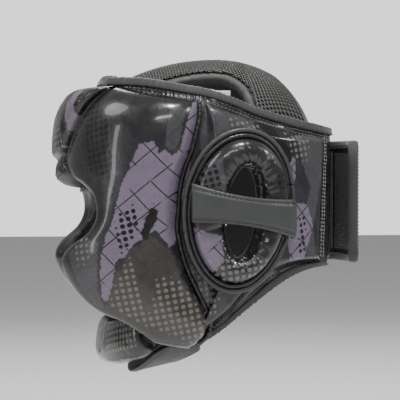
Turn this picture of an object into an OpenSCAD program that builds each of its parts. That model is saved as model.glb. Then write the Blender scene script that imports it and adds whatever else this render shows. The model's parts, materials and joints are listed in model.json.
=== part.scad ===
// Boxing headgear, millimetres. +Z is up, -Y is the wearer's front, +X the wearer's left.
// The origin is the middle of the head cavity.
// Soft layers are wrapped round one head form: a point is an angle or side-view place and an offset.

/* [Head form] */
// Inside width of the head cavity at the ears
inside_w = 156; // [140:1:176]
// From the middle of the cavity to the inside of the forehead
inside_front = 92; // [84:1:104]
// From the middle of the cavity to the inside of the back
inside_back = 100; // [90:1:112]
// How far the middle of the cavity lies behind the origin
mid_y = 5; // [0:1:10]
// Stretch of every height on the cover, 100 is the drawn size
height_pct = 100; // [84:1:120]

/* [Padding] */
// Thickness of the lining layer next to the head
lining_t = 3; // [2:0.5:5]
// Thickness of the printed leather covers
skin_t = 2; // [1.5:0.1:3]
// Thickness of the forehead pad over its lining
forehead_t = 30; // [20:1:34]
// Thickness of the temple and cheek pads over their lining
cheek_t = 25; // [18:1:30]
// Thickness of the side panels over their lining
panel_t = 11; // [8:1:14]
// Height of the ear ring over the side panel
ear_rise = 12; // [8:1:16]
// Thickness of the flat seam edge round each panel
edge_t = 4; // [3:0.5:6]
// Gap between layers that are laid on each other
layer_gap = 0.2; // [0.1:0.1:0.4]

/* [Ear] */
// Width of the ear hole
ear_hole_w = 29; // [24:1:34]
// Height of the ear hole
ear_hole_h = 72; // [62:1:80]
// Width of the strap across the ear
ear_strap_w = 31; // [24:1:36]
// Thickness of the strap across the ear
ear_strap_t = 3; // [2:0.5:4]

/* [Trim] */
// Height of the folded edge binding
binding_h = 6.5; // [5:0.5:8]
// Thickness of the binding tape
binding_t = 1.6; // [1.2:0.1:2]
// Radius of the corded piping
piping_r = 2; // [1.5:0.1:2.4]

/* [Crown] */
// Thickness of the padded crown
crown_t = 10; // [7:1:13]
// Thickness of the spacer mesh on the crown
mesh_t = 3; // [2:0.5:4]
// Radius of the crown's rolled edge binding
crown_binding_r = 3; // [2.5:0.5:4]

/* [Back closure] */
// Height of the hook flap
flap_h = 98; // [80:1:104]
// Length of the hook flap, from its hinge seam to its free end
flap_l = 88; // [76:1:94]
// Thickness of the flap
flap_t = 4; // [3:0.5:5]
// Angle that the flap stands open when at rest
flap_open = 11; // [8:1:20]
// Height of the hook and loop patches
patch_h = 80; // [60:1:84]

/* [Chin] */
// Height of the chin bar
chin_h = 36; // [30:1:40]
// Thickness of the chin bar
chin_t = 26; // [20:1:30]
// Width of the strap under the chin
chin_strap_w = 36; // [28:1:40]
// Thickness of the strap under the chin
chin_strap_t = 3; // [2:0.5:4]

/* [Hidden] */

leather = "dimgray";
print_gray = "slategray";
tape = "darkslategray";
dark = "black";
foam = "khaki";

half_w = inside_w / 2;
// The outlines below are drawn on a form with these sizes, and stretch with it
drawn_front = 92;
drawn_back = 100;
drawn_w = 78;
drawn_mid_y = 5;
// Offsets at which the outlines of the panels and of the ear pieces are drawn
ref_o = 8;
ear_ref_o = 20;
dome_z = 30;
dome_h = 140;
jaw_z = -30;
jaw_span = 90;
jaw_in = 0.09;
cheek_jut = 0.16;

function sgn(x) = x < 0 ? -1 : 1;
function unit01(x) = min(max(x, 0), 1);
function ease(x) = let (u = unit01(x)) u * u * (3 - 2 * u);
function mix(a, b, t) = a + (b - a) * t;
function zs(z) = z * height_pct / 100;
function spline(p, u) =
    let (n = len(p) - 1, x = unit01(u) * n, i = min(floor(x), n - 1), f = x - i)
    let (a = p[max(i - 1, 0)], b = p[i], c = p[i + 1], d = p[min(i + 2, n)])
    0.5 * (2 * b + (c - a) * f + (2 * a - 5 * b + 4 * c - d) * f * f + (3 * b - a - 3 * c + d) * f * f * f);

// ---- The head form
// Share of the full plan that is left at a height
function plan(z) =
    z > dome_z ? sqrt(max(0.05, 1 - pow((z - dome_z) / dome_h, 2)))
    : z < jaw_z ? 1 - jaw_in * pow((jaw_z - z) / jaw_span, 2)
    : 1;
// Exponent of the plan curve: rounder at the forehead, squarer at the cheeks
function corner(z, front) = front ? mix(0.72, 0.8, ease((z + 40) / 60)) : 0.94;
// The cheeks and the jaw stand further forward than the forehead
function jut(z) = 1 + cheek_jut * ease((30 - z) / 60);
// Point at angle a round Z from the front, at drawn height z and offset o from the lining's inside
function wrap(a, z, o) =
    let (c = cos(a), s = sin(a), front = c > 0, k = corner(z, front), f = plan(z))
    [
        (half_w * f + o) * sgn(s) * pow(abs(s), k),
        mid_y - sgn(c) * ((front ? inside_front * jut(z) : inside_back) * f + o) * pow(abs(c), k),
        zs(z)
    ];
// Angle at which the drawn form has the drawn place y, for the offset o
function angle_at(y, z, o) =
    let (d = drawn_mid_y - y, front = d > 0, k = corner(z, front))
    let (q = min(1, abs(d) / ((front ? drawn_front * jut(z) : drawn_back) * plan(z) + o)))
    front ? acos(pow(q, 1 / k)) : 180 - acos(pow(q, 1 / k));
// Point with the side-view place p = [y, z] at offset o, on the wearer's left
function side(p, o, ref = ref_o) = wrap(angle_at(p[0], p[1], ref), p[1], o);

// ---- Solids
// Closed slab between two equal grids; rows run up and columns run right, seen from outside
module slab(outer, inner, ring = false) {
    rows = len(outer);
    cols = len(outer[0]);
    n = rows * cols;
    top = rows - 1;
    right = cols - 1;
    last = ring ? cols - 1 : cols - 2;
    function at(i, j) = i * cols + j % cols;
    function quad(a, b, c, d) = [[a, b, c], [a, c, d]];
    points = concat([for (r = outer) each r], [for (r = inner) each r]);
    out_faces = [for (i = [0 : rows - 2], j = [0 : last])
        each quad(at(i, j), at(i + 1, j), at(i + 1, j + 1), at(i, j + 1))];
    in_faces = [for (i = [0 : rows - 2], j = [0 : last])
        each quad(n + at(i, j), n + at(i, j + 1), n + at(i + 1, j + 1), n + at(i + 1, j))];
    low_faces = [for (j = [0 : last])
        each quad(at(0, j), at(0, j + 1), n + at(0, j + 1), n + at(0, j))];
    top_faces = [for (j = [0 : last])
        each quad(at(top, j + 1), at(top, j), n + at(top, j), n + at(top, j + 1))];
    left_faces = ring ? [] : [for (i = [0 : rows - 2])
        each quad(at(i + 1, 0), at(i, 0), n + at(i, 0), n + at(i + 1, 0))];
    right_faces = ring ? [] : [for (i = [0 : rows - 2])
        each quad(at(i, right), at(i + 1, right), n + at(i + 1, right), n + at(i, right))];
    polyhedron(points, concat(out_faces, in_faces, low_faces, top_faces, left_faces, right_faces));
}

// Tube through equal rings of points, each ring counterclockwise seen from the far end
module tube(rings, closed = false) {
    m = len(rings);
    k = len(rings[0]);
    function at(i, j) = (i % m) * k + j % k;
    sides = [for (i = [0 : closed ? m - 1 : m - 2], j = [0 : k - 1])
        each [[at(i, j), at(i + 1, j), at(i + 1, j + 1)], [at(i, j), at(i + 1, j + 1), at(i, j + 1)]]];
    first = closed ? [] : [for (j = [1 : k - 2]) [at(0, 0), at(0, j), at(0, j + 1)]];
    final = closed ? [] : [for (j = [1 : k - 2]) [at(m - 1, 0), at(m - 1, j + 1), at(m - 1, j)]];
    polyhedron([for (r = rings) each r], concat(sides, first, final));
}
function unit(v) = v / norm(v);
// Round rings of radius r along a list of points
function round_rings(path, r, sides = 8, closed = false) =
    let (m = len(path))
    [for (i = [0 : m - 1])
        let (before = path[closed ? (i + m - 1) % m : max(i - 1, 0)])
        let (after = path[closed ? (i + 1) % m : min(i + 1, m - 1)])
        let (t = unit(after - before))
        let (u = unit(cross(t, abs(t[2]) > 0.9 ? [1, 0, 0] : [0, 0, 1])), v = cross(t, u))
        [for (j = [0 : sides - 1]) path[i] + r * (cos(360 * j / sides) * u + sin(360 * j / sides) * v)]];
module mirrored() mirror([1, 0, 0]) children();

// ---- Outlines in the side view, [y, z]
// Front edge of the cheek and temple pad, from the jaw up to the forehead
cheek_front = [
    [-44, -112], [-54, -103], [-69, -93], [-85, -86], [-98, -75], [-108, -60], [-111, -46], [-105, -35],
    [-92, -24], [-86, -10], [-88, 5], [-95, 14], [-103, 20], [-108, 30], [-105, 46], [-100, 62], [-92, 78],
    [-80, 92]
];
// Rear edge of the same pad, row for row
cheek_rear = [
    [-18, -116], [-5, -106], [-3, -93], [-7, -82], [-12, -71], [-18, -58], [-23, -45], [-26, -33],
    [-28, -20], [-27, -8], [-26, 6], [-24, 18], [-21, 29], [-17, 39], [-14, 51], [-11, 63], [-10, 73],
    [-10, 79]
];
// Top edge of the whole cover along the side, from the front of the temple to the back
rim = [[-77, 98], [-50, 96], [-22, 91], [-2, 87.5], [18, 81], [38, 73], [67, 65], [88, 61], [106, 58]];
// Bottom edge of the side panel, from the back to the jaw
hem = [[102, -52], [86, -53], [70, -57], [53, -66], [30, -83], [8, -101], [-12, -114]];
ear_middle = [25, -8];
seam_middle = [22, -7];
pad_gap = 1.2;

cheek_rows = 28;
cheek_cols = 8;
pad_o = lining_t + layer_gap;
// Share of the height along the front edge where the forehead pad's lower corner meets it
brow_low_t = 0.72;
// Share of the full thickness that the pad keeps at its front edge: most of it along the forehead seam
function front_share(t) = mix(0.45, 0.72, ease((t - brow_low_t + 0.06) / 0.08));
function front_edge_o(t) = pad_o + edge_t + (cheek_t - edge_t) * front_share(t);
function crown_of(s, reach) = sqrt(1 - pow(abs(2 * s - 1), reach));
function cheek_angle(s, t) =
    let (f = spline(cheek_front, t), r = spline(cheek_rear, t))
    mix(angle_at(f[0], f[1], front_edge_o(t)), angle_at(r[0], r[1], ref_o), s);
function cheek_z(s, t) = mix(spline(cheek_front, t)[1], spline(cheek_rear, t)[1], s);
function cheek_puff(s, t) =
    (s < 0.5 ? mix(front_share(t), 1, crown_of(s, 5)) : crown_of(s, 5)) * crown_of(t, 9);
function cheek_at(s, t, o) = wrap(cheek_angle(s, t), cheek_z(s, t), o);
// Offset of the pad's outer face, and of the hollow that its foam fills
function cheek_out(s, t) = pad_o + edge_t + (cheek_t - edge_t) * cheek_puff(s, t);
function cheek_in(s, t) = pad_o + (cheek_t - skin_t) * crown_of(s, 5) * crown_of(t, 9);
cheek_s = [for (j = [0 : cheek_cols]) 0.5 - 0.5 * cos(180 * j / cheek_cols)];
cheek_tt = [for (i = [0 : cheek_rows]) let (u = i / cheek_rows) mix(u, 0.5 - 0.5 * cos(180 * u), 0.1)];

module cheek_cover() {
    color(print_gray)
    slab(
        [for (t = cheek_tt) [for (s = cheek_s) cheek_at(s, t, cheek_out(s, t))]],
        [for (t = cheek_tt) [for (s = cheek_s) cheek_at(s, t, cheek_in(s, t))]]
    );
}
foam_in = 0.1;
foam_room = 2 * skin_t;
module cheek_foam() {
    tt = [for (i = [0 : 18]) mix(0.06, 0.94, i / 18)];
    ss = [for (j = [0 : 6]) mix(foam_in, 1 - foam_in, j / 6)];
    color(foam)
    slab(
        [for (t = tt) [for (s = ss) cheek_at(s, t, cheek_in(s, t) - foam_room)]],
        [for (t = tt) [for (s = ss) cheek_at(s, t, pad_o + layer_gap / 2)]]
    );
}
// The lining ends in a bead round the eyes and the cheek, and runs up to the rim above the pad
lining_out = 5;
bead_rise = 9;
function bead(t) = ease((t - 0.14) / 0.1) * ease((brow_low_t - t) / 0.06);
module cheek_lining() {
    tt = [for (i = [0 : 18]) i / 19, 0.985, 1];
    cols = 7;
    // Columns 0 to 2 are the bead in front of the pad, the others lie under the pad
    function angle(j, t) =
        j == 0 ? cheek_angle(0, t) - lining_out * bead(t) - 0.8
        : j == 1 ? cheek_angle(0, t) - mix(0.6, 1.4, bead(t))
        : cheek_angle(max(0, j - 2.25) / (cols - 3.25), t);
    function height(j, t) = t < 1 ? cheek_z(max(0, j - 2) / (cols - 3), t)
        : mix(rim[0][1], rim[2][1] - 2, max(0, j - 2) / (cols - 3));
    function rise(j, t) = j == 0 ? 0.6 * bead_rise * bead(t) : j == 1 ? bead_rise * bead(t) : 0;
    function low(j, t) = j == 0 ? 0.3 * bead_rise * bead(t) : 0;
    color(dark)
    slab(
        [for (t = tt) [for (j = [0 : cols - 1]) wrap(angle(j, t), height(j, t), lining_t + rise(j, t))]],
        [for (t = tt) [for (j = [0 : cols - 1]) wrap(angle(j, t), height(j, t), low(j, t))]]
    );
}

// ---- Forehead
// The pad spans the brow between the two temple pads, with its lower edge bowed down
brow_rows = 16;
brow_cols = 12;
brow_drop = 12;
function brow_share(t) = mix(brow_low_t, 1, t);
function brow_edge(t) = cheek_angle(0, brow_share(t)) - 0.9;
function brow_z(s, t) = cheek_z(0, brow_share(t)) - mix(brow_drop, 0, pow(t, 0.6)) * (1 - s * s);
// Two lobes, with a groove between the pad and the brow band below it
groove_t = 0.34;
function groove(t) = 1 - 0.1 * exp(-pow((t - groove_t) / 0.06, 2));
function side_round(s) = sqrt(1 - pow(abs(s), 6));
function brow_puff(s, t) = mix(front_share(1), 1, side_round(s)) * crown_of(t, 6) * groove(t);
function brow_at(s, t, o) = wrap(s * brow_edge(t), brow_z(s, t), o);
function brow_out(s, t) = pad_o + edge_t + (forehead_t - edge_t) * brow_puff(s, t);
function brow_in(s, t) = pad_o + (forehead_t - skin_t) * side_round(s) * crown_of(t, 6) * groove(t);
brow_s = [for (j = [0 : brow_cols]) -cos(180 * j / brow_cols)];
brow_t = [for (i = [0 : brow_rows]) 0.5 - 0.5 * cos(180 * i / brow_rows)];

module forehead_cover() {
    color(print_gray)
    slab(
        [for (t = brow_t) [for (s = brow_s) brow_at(s, t, brow_out(s, t))]],
        [for (t = brow_t) [for (s = brow_s) brow_at(s, t, brow_in(s, t))]]
    );
}
module forehead_foam() {
    tt = [for (i = [0 : 10]) mix(0.1, 0.9, i / 10)];
    ss = [for (j = [0 : 8]) mix(-0.86, 0.86, j / 8)];
    color(foam)
    slab(
        [for (t = tt) [for (s = ss) brow_at(s, t, brow_in(s, t) - foam_room)]],
        [for (t = tt) [for (s = ss) brow_at(s, t, pad_o + layer_gap / 2)]]
    );
}
module forehead_lining() {
    tt = [for (i = [0 : 8]) i / 8];
    ss = [for (j = [0 : 14]) mix(-1, 1, j / 14)];
    function at_o(s, t, o) =
        let (z = mix(brow_z(s, 0) - 3, 98, t), edge = t < 0.85 ? brow_edge(t) : brow_edge(1) - 1)
        wrap(s * (edge - 2), z, o);
    color(dark)
    slab(
        [for (t = tt) [for (s = ss) at_o(s, t, lining_t)]],
        [for (t = tt) [for (s = ss) at_o(s, t, 0)]]
    );
}

// ---- Corded piping along the seams of the front pads
module forehead_piping() {
    path = [for (i = [0 : 22]) let (t = mix(brow_low_t + 0.02, 0.97, i / 22))
        wrap(cheek_angle(0, t) - 0.45, cheek_z(0, t), cheek_out(0, t) + piping_r * 1.3)];
    color(tape) tube(round_rings(path, piping_r, 6));
}
module cheek_piping() {
    path = [for (i = [0 : 28]) let (t = mix(0.04, 0.99, i / 28))
        wrap(cheek_angle(1, t) + 0.5, cheek_z(1, t), pad_o + edge_t + piping_r + layer_gap)];
    color(tape) tube(round_rings(path, piping_r, 6));
}

// ---- Side panel with the ear hole
rear_seam = [for (i = [0 : 12]) let (p = spline(cheek_rear, i / 12)) [p[0] + 2 * pad_gap, p[1]]];
// Closed outline of the panel, clockwise seen from the wearer's left
function seam_part(u) = spline(rear_seam, u);
function rim_part(u) = spline(concat([[-8, 88]], [for (i = [3 : 8]) rim[i]]), u);
function hem_part(u) = spline(hem, u);
seam_n = 14;
rim_n = 12;
back_n = 6;
hem_n = 12;
panel_outline = concat(
    [for (i = [0 : seam_n - 1]) seam_part(i / seam_n)],
    [for (i = [0 : rim_n - 1]) rim_part(i / rim_n)],
    [for (i = [0 : back_n - 1]) mix(rim[8], hem[0], i / back_n) + [1.5 * sin(180 * i / back_n), 0]],
    [for (i = [0 : hem_n - 1]) hem_part(i / hem_n)]
);
panel_cols = len(panel_outline);
function turn(i) = atan2(panel_outline[i][1] - ear_middle[1], panel_outline[i][0] - ear_middle[0]);
function hole_at(a, grow = 0) =
    let (w = ear_hole_w / 2 + grow, h = ear_hole_h / 2 + grow)
    ear_middle + [w * cos(a) + 3 * sin(a), h * sin(a)];
function inset(i, d) =
    let (p = panel_outline[i], m = ear_middle, v = m - p)
    p + v / norm(v) * d;
// Rows of the panel grid from the hole to the outline: share of thickness
function panel_row(k, i) =
    let (a = turn(i))
    k == 0 ? hole_at(a)
    : k == 1 ? mix(hole_at(a), inset(i, binding_h + 4), 0.3)
    : k == 2 ? mix(hole_at(a), inset(i, binding_h + 4), 0.7)
    : k == 3 ? inset(i, binding_h + 4)
    : k == 4 ? inset(i, binding_h + 0.5)
    : panel_outline[i];
panel_o = [panel_t, panel_t, panel_t, mix(edge_t, panel_t, 0.75), edge_t, edge_t];
function panel_grid(rows, offsets) =
    [for (k = [0 : len(rows) - 1]) [for (i = [0 : panel_cols - 1]) side(panel_row(rows[k], i), offsets[k])]];
module side_panel() {
    rows = [0, 1, 2, 3, 4, 5];
    color(print_gray)
    slab(
        panel_grid(rows, [for (k = rows) pad_o + panel_o[k]]),
        panel_grid(rows, [for (k = rows) pad_o]),
        ring = true
    );
}
module side_lining() {
    rows = [0, 2, 3, 5];
    color(dark)
    slab(
        panel_grid(rows, [for (k = rows) lining_t]),
        panel_grid(rows, [for (k = rows) 0]),
        ring = true
    );
}

// ---- Ear ring: a stuffed ring round the hole, its seam and its piping
ear_steps = 30;
ear_o = pad_o + panel_t;
function seam_at(a, grow = 0) =
    seam_middle + [(38 + grow) * cos(a) * (1 + 0.06 * sin(a)) + 3 * sin(a), (56 + grow) * sin(a) + 2 * cos(a)];
function ear_place(k, a) = mix(hole_at(a, 0.5), seam_at(a), k);
function ear_bulge(k) = pow(max(0, 1 - pow(abs(2 * k - 1), 2.4)), 0.6);
ear_angles = [for (i = [0 : ear_steps - 1]) -360 * i / ear_steps];
function ear_grid(ks, offsets) =
    [for (k = [0 : len(ks) - 1]) [for (a = ear_angles) side(ear_place(ks[k], a), offsets[k], ear_ref_o)]];
ear_ks = [for (i = [0 : 6]) 0.5 - 0.5 * cos(180 * i / 6)];
module ear_ring_cover() {
    color(leather)
    slab(
        ear_grid(ear_ks, [for (k = ear_ks) ear_o + layer_gap + skin_t + (ear_rise - skin_t) * ear_bulge(k)]),
        ear_grid(ear_ks, [for (k = ear_ks) ear_o + layer_gap + (ear_rise - skin_t) * ear_bulge(k)]),
        ring = true
    );
}
module ear_ring_foam() {
    ks = [0.2, 0.35, 0.5, 0.65, 0.8];
    color(foam)
    slab(
        ear_grid(ks, [for (k = ks) ear_o + layer_gap + (ear_rise - skin_t) * ear_bulge(k) - 1.5]),
        ear_grid(ks, [for (k = ks) ear_o + layer_gap + 0.1]),
        ring = true
    );
}
module ear_piping() {
    color(tape)
    for (grow = [2.8, 7.4])
        tube(
            round_rings(
                [for (a = ear_angles) side(seam_at(-a, grow), ear_o + piping_r + layer_gap, ear_ref_o)],
                piping_r, 6, closed = true
            ),
            closed = true
        );
}
strap_front = -17;
strap_back = 64;
strap_lift = ear_rise + 2.5;
strap_slope = 13;
strap_bow = 8;
strap_z = -7;
module ear_strap() {
    n = 20;
    function place(j, v) =
        let (s = j / n, y = mix(strap_front, strap_back, s))
        [y, strap_z - strap_slope * (s - 0.5) + (v - 0.5) * (ear_strap_w - strap_bow * sin(180 * s))];
    end_lift = 2 * piping_r + 0.6;
    function lift(j) = ear_o + end_lift + (strap_lift - end_lift) * pow(sin(180 * j / n), 0.2);
    color(leather)
    slab(
        [for (v = [0, 0.5, 1]) [for (j = [0 : n]) side(place(j, v), lift(j) + ear_strap_t, ear_ref_o)]],
        [for (v = [0, 0.5, 1]) [for (j = [0 : n]) side(place(j, v), lift(j), ear_ref_o)]]
    );
}

// ---- Folded bindings: a channel over an edge. Columns go from the outer leg over the edge to the inner leg
// out is where the outer leg lies, deep how far it comes down; points are [side place, offset]
function channel(outline, inward, edge_out, leg) = [
    for (i = [0 : len(outline) - 1])
    let (p = outline[i], d = inward[i], t = binding_t, g = layer_gap)
    [
        [side(p + d * leg, edge_out + g + t), side(p - d * t, edge_out + g + t),
         side(p - d * t, -g - t), side(p + d * leg, -g - t)],
        [side(p + d * leg, edge_out + g), side(p - d * g, edge_out + g),
         side(p - d * g, -g), side(p + d * leg, -g)]
    ]
];
module channel_solid(cells) {
    slab([for (c = cells) c[0]], [for (c = cells) c[1]]);
}
module top_binding() {
    n = 30;
    path = [for (i = [n : -1 : 0]) spline(rim, i / n)];
    color(tape) channel_solid(channel(path, [for (p = path) [0, -1]], pad_o + edge_t, binding_h));
}
module bottom_binding() {
    n = 24;
    path = [for (i = [n : -1 : 0]) spline(hem, i / n)];
    color(tape) channel_solid(channel(path, [for (p = path) unit(ear_middle - p)], pad_o + edge_t, binding_h));
}
module front_binding() {
    n = 20;
    half = angle_at(rim[0][0], rim[0][1], ref_o) - 1;
    t = binding_t;
    g = layer_gap;
    front_z = 96.5;
    function ring_at(i, o, up) = wrap(mix(half, -half, i / n), front_z + up + 1.5 * (1 - pow(2 * i / n - 1, 2)), o);
    color(tape)
    slab(
        [for (i = [0 : n]) [ring_at(i, lining_t + 2 + t, -5), ring_at(i, lining_t + 2 + t, 1 + t),
            ring_at(i, -g - t, 1 + t), ring_at(i, -g - t, -5)]],
        [for (i = [0 : n]) [ring_at(i, lining_t + 2, -5), ring_at(i, lining_t + 2, 1),
            ring_at(i, -g, 1), ring_at(i, -g, -5)]]
    );
}

// ---- Crown: a padded dome between the rims, open at both sides over the temples
crown_a = half_w + 3;
crown_front_b = inside_front + 36;
crown_back_b = inside_back - 8;
crown_h = 90;
crown_base = 26;
crown_top_y = mid_y + 10;
// Gap between the crown's side edge and the rim binding's inner leg
crown_side_gap = 0.6;
// Rows from the front to the back: [y on the middle line, half width, how far the ends lie behind].
// The wide rows at the back end at the rim.
crown_rows = [
    [-74, 33, 5], [-48, 39, 1], [-20, 40, 0], [8, 41, 1], [22, 47, 4], [31, 60, 7], [36, 90, 9],
    [46, 90, 14], [54, 90, 20], [62, 90, 26]
];
function stretch_y(y) = mid_y + (y - drawn_mid_y) * (y < drawn_mid_y ? inside_front / drawn_front : inside_back / drawn_back);
function rim_z(y) = lookup(y, rim);
function rim_inside_x(y) =
    let (o = -layer_gap - binding_t - crown_side_gap) side([y, rim_z(y) - 4], o, -layer_gap - binding_t)[0];
function dome_at(x, y, deep) =
    let (a = crown_a - deep, b = (y < crown_top_y ? crown_front_b : crown_back_b) - deep)
    zs(crown_base) + (zs(crown_h) - deep) * sqrt(max(0.02, 1 - pow(x / a, 2) - pow((y - crown_top_y) / b, 2)));
function crown_at(s, v, deep) =
    let (r = spline(crown_rows, v), y = stretch_y(r[0] + r[2] * s * s))
    let (x = s * min(r[1] * half_w / drawn_w, rim_inside_x(r[0] + r[2])))
    let (b = y < crown_top_y ? crown_front_b : crown_back_b)
    let (xd = x * (crown_a - deep) / crown_a, yd = crown_top_y + (y - crown_top_y) * (b - deep) / b)
    [xd, yd, dome_at(xd, yd, deep)];
crown_vs = [for (i = [0 : 18]) i / 18];
crown_ss = [for (j = [0 : 12]) mix(-1, 1, j / 12)];
module crown_layer(low, high) {
    slab(
        [for (v = crown_vs) [for (s = crown_ss) crown_at(s, v, low)]],
        [for (v = crown_vs) [for (s = crown_ss) crown_at(s, v, high)]]
    );
}
module crown_mesh() {
    color(tape) crown_layer(0, mesh_t);
}
module crown_lining() {
    color(dark) crown_layer(mesh_t + layer_gap, crown_t);
}
crown_vent_end = 0.6;
module crown_binding() {
    r = crown_binding_r;
    function edge(v) = crown_at(1, v, crown_t / 2);
    path = [for (i = [0 : 26]) let (v = mix(0.03, crown_vent_end, i / 26))
        let (t = edge(v + 0.01) - edge(v - 0.01), out = unit(cross(t, [0, 0, 1])))
        edge(v) + out * (r + 0.7)];
    color(tape) tube(round_rings(path, r));
}
module crown_back_binding() {
    r = crown_binding_r;
    function edge(s) = crown_at(s, 1, crown_t / 2);
    path = [for (i = [0 : 24]) let (s = mix(0.93, -0.93, i / 24))
        let (t = edge(s - 0.01) - edge(s + 0.01), out = unit(cross(t, [0, 0, 1])))
        edge(s) + out * (r + 1)];
    color(tape) tube(round_rings(path, r));
}

// ---- Back closure
// The left panel ends in a loop tab; the right panel carries the hook flap
back_o = pad_o + edge_t;
tab_end = 196;
function back_grid(a0, a1, n, z_low, z_high, o, m = 4) =
    [for (i = [0 : m]) [for (j = [0 : n]) wrap(mix(a0, a1, j / n), mix(z_low, z_high, i / m), o)]];
tab_start = angle_at(rim[8][0], 0, ref_o) + 1.2;
tab_low = -47;
tab_high = 46;
module loop_tab() {
    color(leather)
    slab(
        back_grid(tab_start, tab_end, 14, tab_low, tab_high, edge_t + 1),
        back_grid(tab_start, tab_end, 14, tab_low, tab_high, 1)
    );
}
patch_t = 1.5;
module loop_patch() {
    half = patch_h / 2 / (height_pct / 100);
    color(dark)
    slab(
        back_grid(tab_start + 6, tab_end - 2, 12, -half, half, edge_t + 1 + layer_gap + patch_t, 2),
        back_grid(tab_start + 6, tab_end - 2, 12, -half, half, edge_t + 1 + layer_gap, 2)
    );
}
// Flap: drawn closed round the back, then swung open about its seam at the right panel's edge
flap_o = edge_t + 1 + 2 * patch_t + 3 * layer_gap + 2.2;
flap_start = 360 - angle_at(rim[8][0], 0, ref_o) - 0.5;
flap_span = flap_l / (inside_back + flap_o) * 180 / PI;
hinge = wrap(flap_start + 1.2, 0, flap_o + flap_t / 2);
module swung() {
    translate([hinge[0], hinge[1], 0]) rotate([0, 0, flap_open]) translate([-hinge[0], -hinge[1], 0]) children();
}
// Half height of the flap at share u of its length, with rounded free corners
corner_u = 0.2;
function flap_half(u, less = 0) =
    let (h = flap_h / 2 - less, e = max(0, (u - (1 - corner_u)) / corner_u))
    h - 20 * (1 - sqrt(max(0, 1 - pow(min(e, 0.999), 3))));
function flap_point(u, w, o, less = 0) =
    let (a = flap_start - flap_span * u, p = wrap(a, 0, o)) [p[0], p[1], w * flap_half(u, less) - 1];
flap_us = [for (i = [0 : 16]) let (u = i / 16) u * (1.35 - 0.35 * u)];
flap_ws = [-1, -0.5, 0, 0.5, 1];
module flap_slab(u0, u1, low, high, less) {
    us = [for (u = flap_us) mix(u1, u0, u)];
    slab(
        [for (w = flap_ws) [for (i = [len(us) - 1 : -1 : 0]) flap_point(us[len(us) - 1 - i], w, high, less)]],
        [for (w = flap_ws) [for (i = [len(us) - 1 : -1 : 0]) flap_point(us[len(us) - 1 - i], w, low, less)]]
    );
}
tape_o = binding_t + layer_gap;
flap_end = 0.985;
module hook_flap() {
    color(leather) swung() flap_slab(0, flap_end - 2 * tape_o / flap_l, flap_o, flap_o + flap_t, tape_o);
}
module hook_patch() {
    less = flap_h / 2 - patch_h / 2;
    color(dark) swung() flap_slab(0.3, 0.9, flap_o - layer_gap - patch_t, flap_o - layer_gap, less);
}
// Binding round the flap's three free edges, as a channel with its rows along the edge
module flap_binding() {
    leg = binding_h - 2;
    n = 12;
    t = binding_t;
    g = layer_gap;
    low = flap_o - g;
    high = flap_o + flap_t + g;
    // Edge path as [share of length, share of half height]
    path = concat(
        [for (i = [0 : n]) let (u = mix(0.06, flap_end, i / n)) [u, 1]],
        [for (i = [1 : n]) [flap_end, 1 - 2 * i / n]],
        [for (i = [1 : n]) let (u = mix(flap_end, 0.06, i / n)) [u, -1]]
    );
    function inward(q) =
        let (du = ease((q[0] - 0.8) / 0.2) * leg / flap_l * 1.2, dz = -q[1] * leg * (1 - 0.3 * ease((q[0] - 0.8) / 0.2)))
        [du, dz];
    function place(q, k, o) =
        let (m = inward(q), p = flap_point(q[0] - m[0] * k, q[1], o)) p + [0, 0, m[1] * k];
    cells = [for (q = path)
        [
            [place(q, 1, high + t), place(q, 0, high + t), place(q, 0, low - t), place(q, 1, low - t)],
            [place(q, 1, high), place(q, tape_o / leg, high), place(q, tape_o / leg, low), place(q, 1, low)]
        ]];
    color(tape) swung() slab([for (c = cells) c[0]], [for (c = cells) c[1]]);
}

// ---- Chin bar, strap and label
chin_reach = 58;
chin_front = -72;
chin_sweep = 16;
chin_z = -115.5;
chin_rise = 12;
function chin_centre(a) = [
    chin_reach / sin(52) * sin(a) * half_w / drawn_w,
    stretch_y(chin_front + chin_sweep * (1 - cos(a)) / (1 - cos(52))),
    zs(chin_z) + chin_rise * pow(sin(a), 2)
];
function chin_rings(grow, lowest, highest, n, sides) =
    [for (i = [0 : n])
        let (a = mix(lowest, highest, i / n), c = chin_centre(a), t = unit(chin_centre(a + 1) - chin_centre(a - 1)))
        let (u = unit(cross(t, [0, 0, 1])))
        let (end = pow(1 - pow(abs(2 * i / n - 1), 6), 0.5) * 0.35 + 0.65)
        [for (j = [0 : sides - 1])
            let (b = 360 * j / sides, cb = cos(b), sb = sin(b))
            c + (chin_t / 2 - grow) * end * sgn(cb) * pow(abs(cb), 0.75) * u
              + (chin_h / 2 - grow) * end * sgn(sb) * pow(abs(sb), 0.75) * cross(t, u)]];
module chin_cover() {
    color(print_gray) slab(chin_rings(0, -58, 58, 18, 14), chin_rings(skin_t, -58, 58, 18, 14), ring = true);
}
module chin_foam() {
    color(foam) tube(chin_rings(skin_t + 3 * layer_gap, -57, 57, 14, 10));
}
strap_end_x = 66;
strap_end_z = -113;
strap_low_z = -134;
strap_mid_y = -40;
strap_end_shift = 22;
strap_tilt = 4.5;
function chin_strap_at(s, w, o) =
    let (x = s * strap_end_x * half_w / drawn_w, q = pow(abs(s), 2.6))
    [
        x,
        stretch_y(strap_mid_y + strap_end_shift * q) + w * chin_strap_w / 2,
        mix(zs(strap_low_z) + w * strap_tilt, zs(strap_end_z), q) - o
    ];
module under_chin(s0, s1, n, low, high, width) {
    slab(
        [for (w = [width, 0, -width]) [for (j = [0 : n]) chin_strap_at(mix(s0, s1, j / n), w, high)]],
        [for (w = [width, 0, -width]) [for (j = [0 : n]) chin_strap_at(mix(s0, s1, j / n), w, low)]]
    );
}
module chin_strap() {
    color(leather) under_chin(-0.98, 1.0, 24, 0, chin_strap_t, 1);
}
module chin_hook_patch() {
    color(dark) under_chin(0.62, 0.96, 8, -layer_gap - patch_t, -layer_gap, 0.8);
}
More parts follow.
